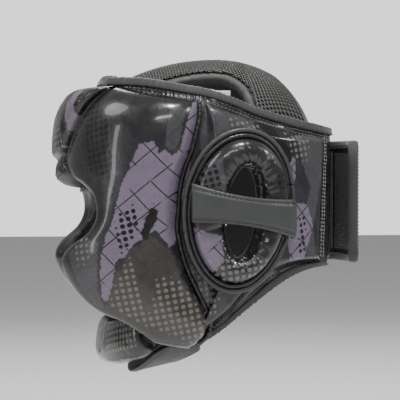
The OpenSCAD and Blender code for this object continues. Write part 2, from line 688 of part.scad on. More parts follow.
module chin_loop_patch() {
    top = -layer_gap - patch_t - layer_gap;
    color(dark) under_chin(0.62, 0.96, 8, top - patch_t, top, 0.8);
}
// Tabs sewn inside the cheeks: the left one carries the loop patch, the right one holds the strap's end
anchor_t = 2.5;
anchor_out = 1.15;
module chin_anchor_left() {
    top = -3 * layer_gap - 2 * patch_t;
    color(leather) under_chin(0.6, anchor_out, 12, top - anchor_t, top, 0.85);
}
module chin_anchor_right() {
    color(leather) under_chin(-anchor_out, -0.9, 8, -layer_gap - anchor_t, -layer_gap, 0.85);
}
// The label stands up from the inside of the left rim, at the front of the vent
label_w = 16;
label_h = 14;
label_t = 0.6;
module size_label() {
    x = half_w * plan(rim_z(9)) - layer_gap - binding_t - 1.5;
    color("white")
    translate([x, stretch_y(9.5), zs(78)]) rotate([0, -6, 0]) cube([label_t, label_w, label_h], center = true);
}

forehead_cover();
forehead_foam();
forehead_lining();
cheek_cover();  // cheek_cover_left
mirrored() cheek_cover();  // cheek_cover_right
cheek_foam();  // cheek_foam_left
mirrored() cheek_foam();  // cheek_foam_right
cheek_lining();  // cheek_lining_left
mirrored() cheek_lining();  // cheek_lining_right
forehead_piping();  // forehead_piping_left
mirrored() forehead_piping();  // forehead_piping_right
cheek_piping();  // cheek_piping_left
mirrored() cheek_piping();  // cheek_piping_right
side_panel();  // side_panel_left
mirrored() side_panel();  // side_panel_right
side_lining();  // side_lining_left
mirrored() side_lining();  // side_lining_right
ear_ring_cover();  // ear_ring_cover_left
mirrored() ear_ring_cover();  // ear_ring_cover_right
ear_ring_foam();  // ear_ring_foam_left
mirrored() ear_ring_foam();  // ear_ring_foam_right
ear_piping();  // ear_piping_left
mirrored() ear_piping();  // ear_piping_right
ear_strap();  // ear_strap_left
mirrored() ear_strap();  // ear_strap_right
top_binding();  // top_binding_left
mirrored() top_binding();  // top_binding_right
front_binding();
bottom_binding();  // bottom_binding_left
mirrored() bottom_binding();  // bottom_binding_right
crown_mesh();
crown_lining();
crown_binding();  // crown_binding_left
mirrored() crown_binding();  // crown_binding_right
crown_back_binding();
loop_tab();
loop_patch();
hook_flap();
flap_binding();
hook_patch();
chin_cover();
chin_foam();
chin_strap();
chin_hook_patch();
chin_loop_patch();
chin_anchor_left();
chin_anchor_right();
size_label();
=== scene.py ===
"""Looks of the boxing headgear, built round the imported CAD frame.

Shapes are worked out in millimetres on the same head form as the CAD part, and made in metres.
+Z is up, -Y is the wearer's front, +X the wearer's left.
"""
import json
import math

import bpy
import numpy as np
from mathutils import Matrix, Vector


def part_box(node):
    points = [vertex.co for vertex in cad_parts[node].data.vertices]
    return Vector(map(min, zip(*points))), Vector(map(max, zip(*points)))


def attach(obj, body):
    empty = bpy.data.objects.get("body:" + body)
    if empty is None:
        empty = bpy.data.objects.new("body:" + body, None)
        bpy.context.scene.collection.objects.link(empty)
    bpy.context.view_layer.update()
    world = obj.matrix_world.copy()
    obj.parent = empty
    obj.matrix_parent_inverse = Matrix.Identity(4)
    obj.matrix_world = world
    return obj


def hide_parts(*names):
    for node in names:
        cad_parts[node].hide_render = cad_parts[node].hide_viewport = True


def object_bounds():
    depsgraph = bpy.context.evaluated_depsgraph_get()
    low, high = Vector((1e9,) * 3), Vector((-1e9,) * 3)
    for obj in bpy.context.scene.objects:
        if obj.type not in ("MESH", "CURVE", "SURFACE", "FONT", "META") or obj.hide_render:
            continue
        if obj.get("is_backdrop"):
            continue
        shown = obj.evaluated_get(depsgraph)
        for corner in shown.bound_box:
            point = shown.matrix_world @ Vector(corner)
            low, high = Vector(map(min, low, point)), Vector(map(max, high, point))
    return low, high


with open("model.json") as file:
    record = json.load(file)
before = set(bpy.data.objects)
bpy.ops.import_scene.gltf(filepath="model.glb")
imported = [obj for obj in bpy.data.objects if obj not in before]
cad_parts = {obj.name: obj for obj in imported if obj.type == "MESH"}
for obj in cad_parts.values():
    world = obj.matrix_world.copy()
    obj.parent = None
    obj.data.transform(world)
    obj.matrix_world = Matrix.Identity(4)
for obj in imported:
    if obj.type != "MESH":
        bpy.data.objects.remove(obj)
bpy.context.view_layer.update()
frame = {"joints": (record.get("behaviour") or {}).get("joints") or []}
MM = 0.001

# ---- Camera: level with the ear, a little in front of the left side
AZIMUTH, ELEVATION = 83.0, 1.0
DISTANCE = 1.55
VIEW_WIDTH = 0.332
AIM = Vector((0.0, 0.0016, 0.0))


def make_camera():
    az, el = math.radians(AZIMUTH), math.radians(ELEVATION)
    toward = Vector((math.sin(az) * math.cos(el), -math.cos(az) * math.cos(el), math.sin(el)))
    data = bpy.data.cameras.new("camera")
    data.sensor_width = 36.0
    data.lens = data.sensor_width * DISTANCE / VIEW_WIDTH
    camera = bpy.data.objects.new("camera", data)
    camera.location = AIM + toward * DISTANCE
    camera.rotation_euler = (-toward).to_track_quat("-Z", "Y").to_euler()
    bpy.context.scene.collection.objects.link(camera)
    bpy.context.scene.camera = camera


make_camera()

# ---- The head form and the layers on it, in millimetres, as in the CAD part
HALF_W = 78.0
FRONT = 92.0
BACK = 100.0
MID_Y = 5.0
LINING_T = 3.0
GAP = 0.2
PAD_O = LINING_T + GAP
EDGE_T = 4.0
CHEEK_T = 25.0
FOREHEAD_T = 30.0
PANEL_T = 11.0
EAR_RISE = 12.0
REF_O = 8.0
EAR_REF_O = 20.0
EAR_O = PAD_O + PANEL_T
BINDING_H = 6.5
BINDING_T = 1.6
PIPING_R = 2.0
DOME_Z, DOME_H = 30.0, 140.0
JAW_Z, JAW_SPAN, JAW_IN = -30.0, 90.0, 0.09
CHEEK_JUT = 0.16


def ease(x):
    u = np.clip(x, 0, 1)
    return u * u * (3 - 2 * u)


def mix(a, b, t):
    return a + (b - a) * t


def ridge(x, width):
    """1 where x is 0, dying away smoothly over about width."""
    return np.exp(-((x / width) ** 2))


def unit(v):
    return v / np.linalg.norm(v, axis=-1, keepdims=True)


def arc_along(path):
    return np.r_[0, np.cumsum(np.linalg.norm(np.diff(path, axis=0), axis=1))]


def spline(points, u):
    p = np.asarray(points, float)
    n = len(p) - 1
    x = np.clip(np.asarray(u, float), 0, 1) * n
    i = np.minimum(np.floor(x), n - 1).astype(int)
    f = x - i
    if p.ndim > 1:
        f = f[..., None]
    a, b, c, d = p[np.maximum(i - 1, 0)], p[i], p[i + 1], p[np.minimum(i + 2, n)]
    return 0.5 * (2 * b + (c - a) * f + (2 * a - 5 * b + 4 * c - d) * f**2 + (3 * b - a - 3 * c + d) * f**3)


def plan(z):
    dome = np.sqrt(np.maximum(0.05, 1 - ((z - DOME_Z) / DOME_H) ** 2))
    jaw = 1 - JAW_IN * ((JAW_Z - z) / JAW_SPAN) ** 2
    return np.where(z > DOME_Z, dome, np.where(z < JAW_Z, jaw, 1.0))


def corner(z, front):
    return np.where(front, mix(0.72, 0.8, ease((z + 40) / 60)), 0.94)


def jut(z):
    return 1 + CHEEK_JUT * ease((30 - z) / 60)


def wrap(a, z, o):
    """Point at angle a round Z from the front, at height z and offset o from the lining's inside."""
    a, z, o = np.broadcast_arrays(np.asarray(a, float), np.asarray(z, float), np.asarray(o, float))
    c, s = np.cos(np.radians(a)), np.sin(np.radians(a))
    front = c > 0
    k, f = corner(z, front), plan(z)
    deep = np.where(front, FRONT * jut(z), BACK)
    x = (HALF_W * f + o) * np.sign(s) * np.abs(s) ** k
    y = MID_Y - np.sign(c) * (deep * f + o) * np.abs(c) ** k
    return np.stack([x, y, z], -1)


def angle_at(y, z, o):
    d = MID_Y - np.asarray(y, float)
    front = d > 0
    k = corner(z, front)
    q = np.minimum(1, np.abs(d) / (np.where(front, FRONT * jut(z), BACK) * plan(z) + o))
    a = np.degrees(np.arccos(q ** (1 / k)))
    return np.where(front, a, 180 - a)


def side(p, o, ref=REF_O):
    """Point with the side-view place p = [y, z] at offset o, on the wearer's left."""
    p = np.asarray(p, float)
    return wrap(angle_at(p[..., 0], p[..., 1], ref), p[..., 1], o)


# Arc length round the head, measured from the front, against the direction seen from the middle
_turns = np.linspace(0, 180, 181)
_girth = wrap(_turns, 0.0, 20.0)
_girth_way = np.arctan2(_girth[:, 0], MID_Y - _girth[:, 1])
_girth_arc = arc_along(_girth)
_arc_at_origin = float(np.interp(angle_at(0.0, 0.0, 20.0), _turns, _girth_arc))


def place_of(points, signed=False):
    """Where the print lies: distance round the head and height. Both sides wear the same print."""
    arc = np.interp(np.arctan2(np.abs(points[:, 0]), MID_Y - points[:, 1]), _girth_way, _girth_arc)
    if signed:
        return np.stack([np.sign(points[:, 0]) * arc, points[:, 2]], -1)
    return np.stack([arc - _arc_at_origin, points[:, 2]], -1)


# ---- Materials
def linear(*tone):
    """A colour given as 0 to 255 values, as the shader takes it."""
    return (*(((v / 255 + 0.055) / 1.055) ** 2.4 if v > 10 else v / 255 / 12.92 for v in tone), 1.0)


def toned(tone, share):
    return linear(*(share * v for v in tone))


class Shader:
    """Short forms for building a node material round one Principled shader."""

    def __init__(self, name, roughness, **fixed):
        self.material = bpy.data.materials.new(name)
        self.material.use_nodes = True
        self.tree = self.material.node_tree
        self.surface = self.tree.nodes["Principled BSDF"]
        self.surface.inputs["Roughness"].default_value = roughness
        for key, value in fixed.items():
            self.surface.inputs[key.replace("_", " ")].default_value = value

    def put(self, socket, value):
        if isinstance(value, bpy.types.NodeSocket):
            self.tree.links.new(value, socket)
        else:
            socket.default_value = value

    def node(self, kind, inputs=(), **settings):
        made = self.tree.nodes.new(kind)
        for key, value in settings.items():
            setattr(made, key, value)
        for key, value in dict(inputs).items():
            self.put(made.inputs[key], value)
        return made

    def math(self, operation, a, b=0.0, c=0.0):
        made = self.node("ShaderNodeMath", {0: a, 1: b}, operation=operation)
        if operation == "MULTIPLY_ADD":
            self.put(made.inputs[2], c)
        return made.outputs[0]

    def band(self, value, low, high, to_low=0.0, to_high=1.0):
        """value taken from low..high to to_low..to_high, smoothly and without going past them."""
        return self.node(
            "ShaderNodeMapRange",
            {0: value, 1: low, 2: high, 3: to_low, 4: to_high},
            interpolation_type="SMOOTHSTEP",
        ).outputs[0]

    def mix(self, share, a, b):
        made = self.node("ShaderNodeMix", data_type="RGBA", clamp_factor=True)
        self.put(made.inputs[0], share)
        self.put(made.inputs[6], a)
        self.put(made.inputs[7], b)
        return made.outputs[2]

    def noise(self, vector, scale, detail=2.0, roughness=0.5):
        return self.node(
            "ShaderNodeTexNoise", {"Vector": vector, "Scale": scale, "Detail": detail, "Roughness": roughness}
        ).outputs["Fac"]

    def object_place(self):
        return self.node("ShaderNodeTexCoord").outputs["Object"]

    def attribute(self, name):
        return self.node("ShaderNodeAttribute", attribute_name=name).outputs["Vector"]

    def split(self, vector):
        return self.node("ShaderNodeSeparateXYZ", {0: vector}).outputs

    def turned(self, u, v, degrees):
        c, s = math.cos(math.radians(degrees)), math.sin(math.radians(degrees))
        a = self.math("MULTIPLY_ADD", u, c, self.math("MULTIPLY", v, s))
        b = self.math("MULTIPLY_ADD", u, -s, self.math("MULTIPLY", v, c))
        return a, b

    def off_centre(self, x, pitch):
        """Signed distance to the middle of the cell that x is in."""
        part = self.math("FRACT", self.math("DIVIDE", x, pitch))
        return self.math("MULTIPLY", self.math("SUBTRACT", part, 0.5), pitch)

    def bump(self, height, strength, distance):
        made = self.node("ShaderNodeBump", {"Strength": strength, "Distance": distance, "Height": height})
        before = self.surface.inputs["Normal"]
        if before.is_linked:
            self.put(made.inputs["Normal"], before.links[0].from_socket)
        self.put(before, made.outputs[0])

    def colour(self, value):
        self.put(self.surface.inputs["Base Color"], value)

    def rough(self, value):
        self.put(self.surface.inputs["Roughness"], value)


CHARCOAL = linear(27, 27, 29)
CHARCOAL_2 = linear(38, 38, 41)
LAVENDER = linear(103, 93, 109)
SLATE = linear(58, 58, 61)
WARM = linear(50, 48, 45)
INK_BLACK = linear(10, 10, 12)
DOT_LIGHT = linear(94, 91, 85)
# The print's sizes in mm, and how its grids are turned, in degrees
DIAMOND, DIAMOND_TURN, LINE_HALF = 15.5, 42, 0.42
DARK_PITCH, DARK_TURN, DARK_R = 5.0, 14, 1.8
LIGHT_PITCH, LIGHT_TURN, LIGHT_R = 4.9, 10, 1.6
DOT_GROWTH = 0.4


def halftone(sh, u, v, depth, pitch, degrees, largest):
    """Round dots on a turned square grid, which shrink towards the edge of their field."""
    a, b = sh.turned(u, v, degrees)
    da, db = sh.off_centre(a, pitch), sh.off_centre(b, pitch)
    away = sh.math("SQRT", sh.math("ADD", sh.math("MULTIPLY", da, da), sh.math("MULTIPLY", db, db)))
    radius = sh.math("MINIMUM", sh.math("MULTIPLY", depth, DOT_GROWTH), largest)
    return sh.band(sh.math("SUBTRACT", radius, away), -0.22, 0.22)


def diamond_lines(sh, u, v, torn):
    """Two crossing families of thin lines, broken where torn is low."""
    a, b = sh.turned(u, v, DIAMOND_TURN)
    nearest = sh.math(
        "MINIMUM",
        sh.math("ABSOLUTE", sh.off_centre(a, DIAMOND)),
        sh.math("ABSOLUTE", sh.off_centre(b, DIAMOND * 1.12)),
    )
    return sh.math("MULTIPLY", sh.band(sh.math("SUBTRACT", LINE_HALF, nearest), -0.2, 0.2), torn)


def printed_leather():
    sh = Shader("printed_leather", 0.3, Coat_Weight=0.45, Coat_Roughness=0.06, Specular_IOR_Level=0.4)
    place = sh.attribute("place")
    u, v, _ = sh.split(place)
    lavender, gray, black = sh.split(sh.attribute("ink"))
    light_dots, dark_dots, warm = sh.split(sh.attribute("dots"))
    ragged = sh.math("MULTIPLY", sh.math("SUBTRACT", sh.noise(place, 0.32, 4, 0.62), 0.5), 5.0)
    soft = sh.math("MULTIPLY", sh.math("SUBTRACT", sh.noise(place, 0.11, 3, 0.55), 0.5), 14.0)

    def inked(depth, blur=0.3, wobble=ragged):
        return sh.band(sh.math("ADD", depth, wobble), -blur, blur)

    colour = sh.mix(sh.band(sh.noise(place, 0.022, 2), 0.35, 0.65), CHARCOAL, CHARCOAL_2)
    colour = sh.mix(inked(warm, 1.5, soft), colour, WARM)
    colour = sh.mix(inked(gray, 0.5), colour, SLATE)
    on_lavender = inked(lavender)
    colour = sh.mix(on_lavender, colour, LAVENDER)
    colour = sh.mix(inked(black, 0.6, soft), colour, INK_BLACK)
    torn = sh.band(sh.noise(place, 0.045, 1), 0.40, 0.46)
    lines = diamond_lines(sh, u, v, torn)
    colour = sh.mix(sh.math("MULTIPLY", lines, sh.math("MAXIMUM", on_lavender, 0.35)), colour, INK_BLACK)
    dots = halftone(sh, u, v, dark_dots, DARK_PITCH, DARK_TURN, DARK_R)
    colour = sh.mix(dots, colour, INK_BLACK)
    dots = halftone(sh, u, v, light_dots, LIGHT_PITCH, LIGHT_TURN, LIGHT_R)
    colour = sh.mix(dots, colour, DOT_LIGHT)
    sh.colour(colour)
    fine = sh.noise(place, 2.2, 3, 0.6)
    sh.rough(sh.band(sh.noise(place, 0.09, 4), 0.3, 0.7, 0.2, 0.36))
    sh.bump(fine, 0.12, 0.0002)
    sh.bump(sh.noise(place, 0.16, 3), 0.3, 0.0008)
    return sh.material


def matte_leather(name="matte_leather", tone=(56, 58, 57), roughness=0.46):
    sh = Shader(name, roughness, Coat_Weight=0.12, Coat_Roughness=0.35)
    at = sh.object_place()
    sh.colour(sh.mix(sh.noise(at, 35.0, 3), toned(tone, 0.82), linear(*tone)))
    grain = sh.node("ShaderNodeTexVoronoi", {"Vector": at, "Scale": 1150.0}, feature="F1").outputs["Distance"]
    sh.rough(sh.band(sh.noise(at, 60.0, 3), 0.3, 0.7, roughness - 0.06, roughness + 0.1))
    sh.bump(grain, 0.28, 0.0002)
    sh.bump(sh.noise(at, 90.0, 3), 0.25, 0.0006)
    return sh.material


def tape_material(name="binding_tape", tone=(52, 52, 54)):
    sh = Shader(name, 0.62, Sheen_Weight=0.25, Sheen_Roughness=0.4)
    at = sh.object_place()
    x, y, z = sh.split(at)
    rib = sh.math("SINE", sh.math("MULTIPLY", sh.math("ADD", sh.math("ADD", x, y), z), 7400.0))
    cross = sh.math("SINE", sh.math("MULTIPLY", sh.math("SUBTRACT", z, y), 6200.0))
    worn = sh.noise(at, 55.0, 4)
    sh.colour(sh.mix(worn, toned(tone, 0.78), linear(*tone)))
    sh.rough(sh.band(worn, 0.3, 0.7, 0.52, 0.74))
    sh.bump(sh.math("MULTIPLY", rib, cross), 0.14, 0.0002)
    sh.bump(sh.noise(at, 130.0, 3), 0.35, 0.0006)
    return sh.material


def lining_material(name="lining_cloth", tone=(30, 30, 32)):
    sh = Shader(name, 0.66, Sheen_Weight=0.3, Sheen_Roughness=0.5)
    at = sh.object_place()
    nap = sh.noise(at, 700.0, 3, 0.7)
    sh.colour(sh.mix(nap, toned(tone, 0.7), toned(tone, 1.25)))
    sh.rough(sh.band(sh.noise(at, 40.0, 2), 0.3, 0.7, 0.58, 0.76))
    sh.bump(nap, 0.3, 0.0003)
    sh.bump(sh.noise(at, 45.0, 3), 0.5, 0.0012)
    return sh.material


def yarn_material(name, tone, sheen, grain, dark, gloss, relief):
    """Twisted yarn. grain is the scale and detail of its noise, gloss its roughness from low to high."""
    sh = Shader(name, 0.5, Sheen_Weight=sheen)
    twist = sh.noise(sh.object_place(), *grain)
    sh.colour(sh.mix(twist, toned(tone, dark), linear(*tone)))
    sh.rough(sh.band(twist, 0.3, 0.7, *gloss))
    sh.bump(twist, 0.4, relief)
    return sh.material


def thread_material(name, tone):
    return yarn_material(name, tone, 0.2, (2600.0, 1), 0.6, (0.4, 0.65), 0.0001)


def pile_material(name, tone, scale):
    """Hook or loop cloth: a rough, fuzzy face."""
    sh = Shader(name, 0.85, Sheen_Weight=0.12)
    at = sh.object_place()
    pile = sh.node("ShaderNodeTexVoronoi", {"Vector": at, "Scale": scale}).outputs["Distance"]
    sh.colour(sh.mix(pile, toned(tone, 0.5), toned(tone, 1.3)))
    sh.rough(sh.band(pile, 0.0, 0.8, 0.95, 0.7))
    sh.bump(pile, 0.8, 0.0006)
    return sh.material


def label_material():
    sh = Shader("label_satin", 0.45, Sheen_Weight=0.1)
    at = sh.object_place()
    ribs = sh.math("SINE", sh.math("MULTIPLY", sh.split(at)[2], 9000.0))
    sh.colour(sh.mix(sh.noise(at, 120.0, 3), linear(196, 192, 178), linear(222, 219, 208)))
    sh.rough(sh.band(sh.noise(at, 200.0, 2), 0.3, 0.7, 0.38, 0.58))
    sh.bump(ribs, 0.2, 0.0001)
    return sh.material


PRINT = printed_leather()
MATTE = matte_leather()
SMOOTH_BLACK = matte_leather("bead_leather", (36, 36, 38), 0.38)
TAPE = tape_material()
ARCH_TAPE = tape_material("arch_tape", (76, 76, 75))
CORD = matte_leather("piping_leather", (30, 30, 32), 0.3)
LINING = lining_material()
MESH = yarn_material("mesh_strands", (64, 64, 61), 0.15, (900.0, 2), 0.68, (0.42, 0.6), 0.0002)
# Floors of the mesh holes: the dark cloth below, darkened further as painted shade in the holes
HOLE_CLOTH_AND_SHADE = lining_material("hole_cloth_and_shade", (12, 12, 12))
LOOP = pile_material("loop_pile", (26, 26, 26), 1500.0)
HOOK = pile_material("hook_pile", (22, 22, 22), 700.0)
THREAD_DARK = thread_material("thread_dark", (36, 36, 38))
THREAD_GRAY = thread_material("thread_gray", (112, 112, 114))
THREAD_LIGHT = thread_material("thread_light", (150, 150, 152))
LABEL = label_material()

# ---- The print: outlines in the side view, [y, z], for the temple and cheek pads and the side panels
LAVENDER_SHAPES = [
    [[-58, 45], [-47, 48], [-44, 37], [-40, 42], [-34, 36], [-28, 42], [-18, 78], [-11, 80], [-9, 75],
     [-16, 42], [-20, 20], [-26, -1], [-28, -24], [-33, -28], [-37, -36], [-42, -28], [-47, -21], [-54, -27],
     [-63, -33], [-69, -42], [-76, -45], [-78, -61], [-82, -78], [-86, -75], [-88, -52], [-84, -28],
     [-78, -14], [-75, -1], [-71, 15], [-64, 30]],
    [[63, 37], [68, 34], [68, 19], [64, 7], [62, 26]],
    [[67, -1], [79, -2], [84, -20], [76, -45], [64, -47], [61, -32], [67, -16]],
]
GRAY_SHAPES = [
    [[-112, -40], [-98, -28], [-89, -32], [-90, -67], [-85, -81], [-88, -84], [-102, -69]],
    [[-4, 75], [37, 64], [31, 54], [4, 50], [-8, 34], [-10, 50]],
    [[70, 50], [92, 54], [92, 19], [84, -20], [87, -45], [79, -45], [76, -9], [82, 11], [74, 30]],
    [[-4, -106], [23, -75], [40, -63], [31, -77], [4, -100]],
]
BLACK_SHAPES = [
    [[-49, -1], [-45, -6], [-49, -24], [-55, -28], [-57, -24], [-55, -14]],
    [[38, 66], [54, 58], [66, 36], [64, 20], [57, 38], [44, 52]],
    [[9, -79], [14, -63], [27, -64], [23, -75]],
]
LIGHT_DOT_SHAPES = [
    [[-67, -38], [-60, -45], [-57, -63], [-50, -84], [-49, -59], [-39, -55], [-25, -61], [-14, -75], [0, -97],
     [-3, -106], [-19, -114], [-35, -105], [-55, -98], [-72, -89], [-83, -81], [-78, -63]],
    [[-109, -28], [-94, -24], [-94, -45], [-102, -55], [-108, -45]],
    [[8, 70], [40, 63], [46, 52], [38, 46], [14, 55]],
    [[56, 58], [82, 54], [82, 30], [66, 30]],
    [[-21, -48], [-8, -50], [9, -75], [4, -92], [-6, -89]],
]
DARK_DOT_SHAPES = [
    [[-77, -9], [-59, 3], [-55, -17], [-64, -36], [-74, -45], [-78, -28]],
    [[-98, 77], [-85, 80], [-74, 60], [-72, 22], [-80, 14], [-98, 22]],
    [[70, -9], [79, -9], [79, -45], [68, -45]],
]
WARM_SHAPES = [
    [[-63, -33], [-47, -25], [-31, -45], [-25, -61], [-8, -87], [2, -98], [-8, -116], [-47, -114],
     [-70, -110], [-90, -83], [-83, -80], [-77, -59]],
]
GRAY_BAR = [[-34, 75], [-23, 73], [-28, 50], [-31, 42], [-35, 40], [-39, 44], [-38, 54]]
FAR = -99.0


def depth_in(at, outlines):
    """How far each place lies inside the nearest of the outlines, in mm; negative outside them."""
    best = np.full(len(at), FAR)
    x, y = at[:, 0:1], at[:, 1:2]
    for outline in outlines:
        a = np.asarray(outline, float)
        b = np.roll(a, -1, 0)
        edge = b - a
        t = ((x - a[:, 0]) * edge[:, 0] + (y - a[:, 1]) * edge[:, 1]) / (edge**2).sum(1)
        t = np.clip(t, 0, 1)
        away = np.hypot(x - a[:, 0] - t * edge[:, 0], y - a[:, 1] - t * edge[:, 1]).min(1)
        rise = np.where(edge[:, 1] == 0, 1e-9, edge[:, 1])
        crossed = ((a[:, 1] > y) != (b[:, 1] > y)) & (x < edge[:, 0] * (y - a[:, 1]) / rise + a[:, 0])
        best = np.maximum(best, np.where(crossed.sum(1) % 2 == 1, away, -away))
    return best


def side_outlines(outlines, o):
    """Outlines given in the side view of a surface with offset o, as places on the print."""
    return [place_of(side(outline, o, o)) for outline in outlines]


def less(depth, outlines, at):
    """depth with the inside of the outlines cut away."""
    return np.minimum(depth, -depth_in(at, outlines))


def side_print(o):
    """The print of a side piece whose face has offset o."""
    def printed(points):
        at = place_of(points)
        bar = side_outlines([GRAY_BAR], o)
        lavender = less(depth_in(at, side_outlines(LAVENDER_SHAPES, o)), bar, at)
        gray = np.maximum(depth_in(at, side_outlines(GRAY_SHAPES, o)), depth_in(at, bar))
        shapes = (BLACK_SHAPES, LIGHT_DOT_SHAPES, DARK_DOT_SHAPES, WARM_SHAPES)
        black, light, dark, warm = (depth_in(at, side_outlines(s, o)) for s in shapes)
        return at, np.stack([lavender, gray, black], 1), np.stack([light, dark, warm], 1)

    return printed


# The donuts round the ears and the middle pad of the forehead have their own cuts of the print
RING_LAVENDER = [[[-16, -20], [6, -26], [8, -45], [-2, -56], [-16, -44]]]
RING_GRAY = [[[-24, 34], [6, 34], [10, 8], [-24, 8]], [[30, 60], [60, 40], [60, 20], [44, 34]]]
RING_LIGHT = [
    [[0, -42], [44, -42], [44, -66], [10, -68], [-4, -56]],
    [[34, 46], [50, 40], [50, 28], [38, 30]],
]
RING_DARK = [[[-24, 32], [6, 32], [10, 8], [-24, 8]], [[38, 22], [60, 30], [60, 8], [44, 4]]]


def ring_print(points):
    at = place_of(points)
    o = EAR_O + 0.7 * EAR_RISE
    fields = [depth_in(at, side_outlines(s, o)) for s in (RING_LAVENDER, RING_GRAY)]
    dots = [depth_in(at, side_outlines(s, o)) for s in (RING_LIGHT, RING_DARK)]
    none = np.full(len(at), FAR)
    return at, np.stack(fields + [none], 1), np.stack(dots + [none], 1)


# Outlines on the forehead: distance round the head from its middle, and height
BROW_LAVENDER = [
    [[-60, 96], [-42, 96], [-30, 62], [-38, 50], [-52, 66]],
    [[36, 98], [50, 94], [54, 60], [44, 52]],
]
BROW_GRAY = [[[-20, 92], [16, 88], [22, 60], [4, 44], [-16, 60]], [[40, 60], [58, 70], [60, 40], [46, 36]]]
BROW_BLACK = [[[-8, 72], [6, 78], [2, 58], [-6, 54]]]
BROW_LIGHT = [[[10, 60], [36, 66], [40, 40], [16, 36]], [[-62, 60], [-44, 54], [-46, 36], [-60, 40]]]
BROW_DARK = [[[-40, 92], [-24, 80], [-28, 60], [-40, 62]]]


def brow_print(points):
    at = place_of(points, signed=True)
    ink = [depth_in(at, s) for s in (BROW_LAVENDER, BROW_GRAY, BROW_BLACK)]
    dots = [depth_in(at, s) for s in (BROW_LIGHT, BROW_DARK)]
    return at, np.stack(ink, 1), np.stack(dots + [np.full(len(at), FAR)], 1)


# ---- Meshes
def quads(rows, cols, ring=False, start=0):
    """Faces of a grid whose rows run up and columns run right, seen from outside."""
    i, j = np.meshgrid(np.arange(rows - 1), np.arange(cols if ring else cols - 1), indexing="ij")
    k = (j + 1) % cols
    low, high = i * cols, (i + 1) * cols
    return np.stack([low + j, low + k, high + k, high + j], -1).reshape(-1, 4) + start


def slab(outer, inner, ring=False):
    """Closed slab between two equal grids."""
    rows, cols = outer.shape[:2]
    n = rows * cols
    points = np.concatenate([outer.reshape(-1, 3), inner.reshape(-1, 3)])
    faces = [quads(rows, cols, ring), quads(rows, cols, ring, n)[:, ::-1]]
    j = np.arange(cols if ring else cols - 1)
    k = (j + 1) % cols
    top = (rows - 1) * cols
    faces.append(np.stack([j, n + j, n + k, k], -1))
    faces.append(np.stack([top + k, n + top + k, n + top + j, top + j], -1))
    if not ring:
        i = np.arange(rows - 1) * cols
        faces.append(np.stack([i + cols, n + i + cols, n + i, i], -1))
        r = i + cols - 1
        faces.append(np.stack([r, n + r, n + r + cols, r + cols], -1))
    return points, np.concatenate(faces)


def tube(rings, closed=False):
    """Tube through equal rings of points."""
    rings = np.asarray(rings)
    m, k = rings.shape[:2]
    i, j = np.meshgrid(np.arange(m if closed else m - 1), np.arange(k), indexing="ij")
    a, b = (i + 1) % m, (j + 1) % k
    faces = np.stack([i * k + j, i * k + b, a * k + b, a * k + j], -1).reshape(-1, 4).tolist()
    if not closed:
        faces += [list(range(k))[::-1], list(range((m - 1) * k, m * k))]
    return rings.reshape(-1, 3), faces


def frames_along(path, closed=False):
    """Unit vectors across a path: along it, sideways and up."""
    path = np.asarray(path, float)
    if closed:
        along = np.roll(path, -1, 0) - np.roll(path, 1, 0)
    else:
        along = np.gradient(path, axis=0)
    along = unit(along)
    side_way = np.cross(along, [0.0, 0.0, 1.0])
    flat = np.linalg.norm(side_way, axis=1) < 0.15
    side_way[flat] = np.cross(along[flat], [1.0, 0.0, 0.0])
    side_way = unit(side_way)
    return along, side_way, np.cross(side_way, along)


def round_tube(path, radius, sides=14, closed=False, ripple=0.0, seed=0):
    """A cord along a path; ripple is the height in mm of its crinkles."""
    path = np.asarray(path, float)
    _, across, up = frames_along(path, closed)
    turn = turns(sides)
    r = np.broadcast_to(np.asarray(radius, float), (len(path),))[:, None]
    if ripple:
        rng = np.random.default_rng(seed)
        shift = rng.uniform(-1, 1, (len(path), sides))
        for _ in range(2):
            shift = (np.roll(shift, 1, 1) + shift + np.roll(shift, -1, 1)) / 2.2
        r = r + ripple * shift
    rings = path[:, None] + r[..., None] * (
        np.cos(turn)[None, :, None] * across[:, None] + np.sin(turn)[None, :, None] * up[:, None]
    )
    return tube(rings, closed)


def turns(sides):
    return np.arange(sides) * 2 * np.pi / sides


def mirror(points, faces):
    return points * [-1, 1, 1], [list(f)[::-1] for f in faces]


def make(
    name, points, faces, material, body="shell", slot=None, nodes=(), printed=None, smooth=True, refine=False
):
    """Makes a piece, in metres, with its print, and says what it rides on and stands for."""
    mesh = bpy.data.meshes.new(name)
    faces = faces.tolist() if isinstance(faces, np.ndarray) else faces
    mesh.from_pydata((np.asarray(points) * MM).tolist(), [], faces)
    mesh.polygons.foreach_set("use_smooth", [smooth] * len(mesh.polygons))
    mesh.materials.append(material)
    if printed:
        place, ink, dots = printed(np.asarray(points))
        flat = np.c_[place, np.zeros(len(place))]
        for key, value in (("place", flat), ("ink", ink), ("dots", dots)):
            layer = mesh.attributes.new(key, "FLOAT_VECTOR", "POINT")
            layer.data.foreach_set("vector", value.astype(np.float32).ravel())
    mesh.update()
    made = bpy.data.objects.new(name, mesh)
    bpy.context.scene.collection.objects.link(made)
    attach(made, body)
    if refine:
        soft = made.modifiers.new("refine", "SUBSURF")
        soft.levels = soft.render_levels = 1
    if nodes:
        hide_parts(*nodes)
    return made


# A grid finer than this is smooth enough unrefined
REFINED_FACES = 16000


def both(name, points, faces, material, slot, nodes=(), printed=None, fill=None):
    """The same piece on the wearer's left and right."""
    for end, flip in (("left", False), ("right", True)):
        p, f = mirror(points, faces) if flip else (points, faces)
        named = [n + "_" + end for n in nodes]
        soft = fill is not None and len(f) < REFINED_FACES
        made = make(name + "_" + end, p, f, material, "shell", slot, named, printed, refine=soft)


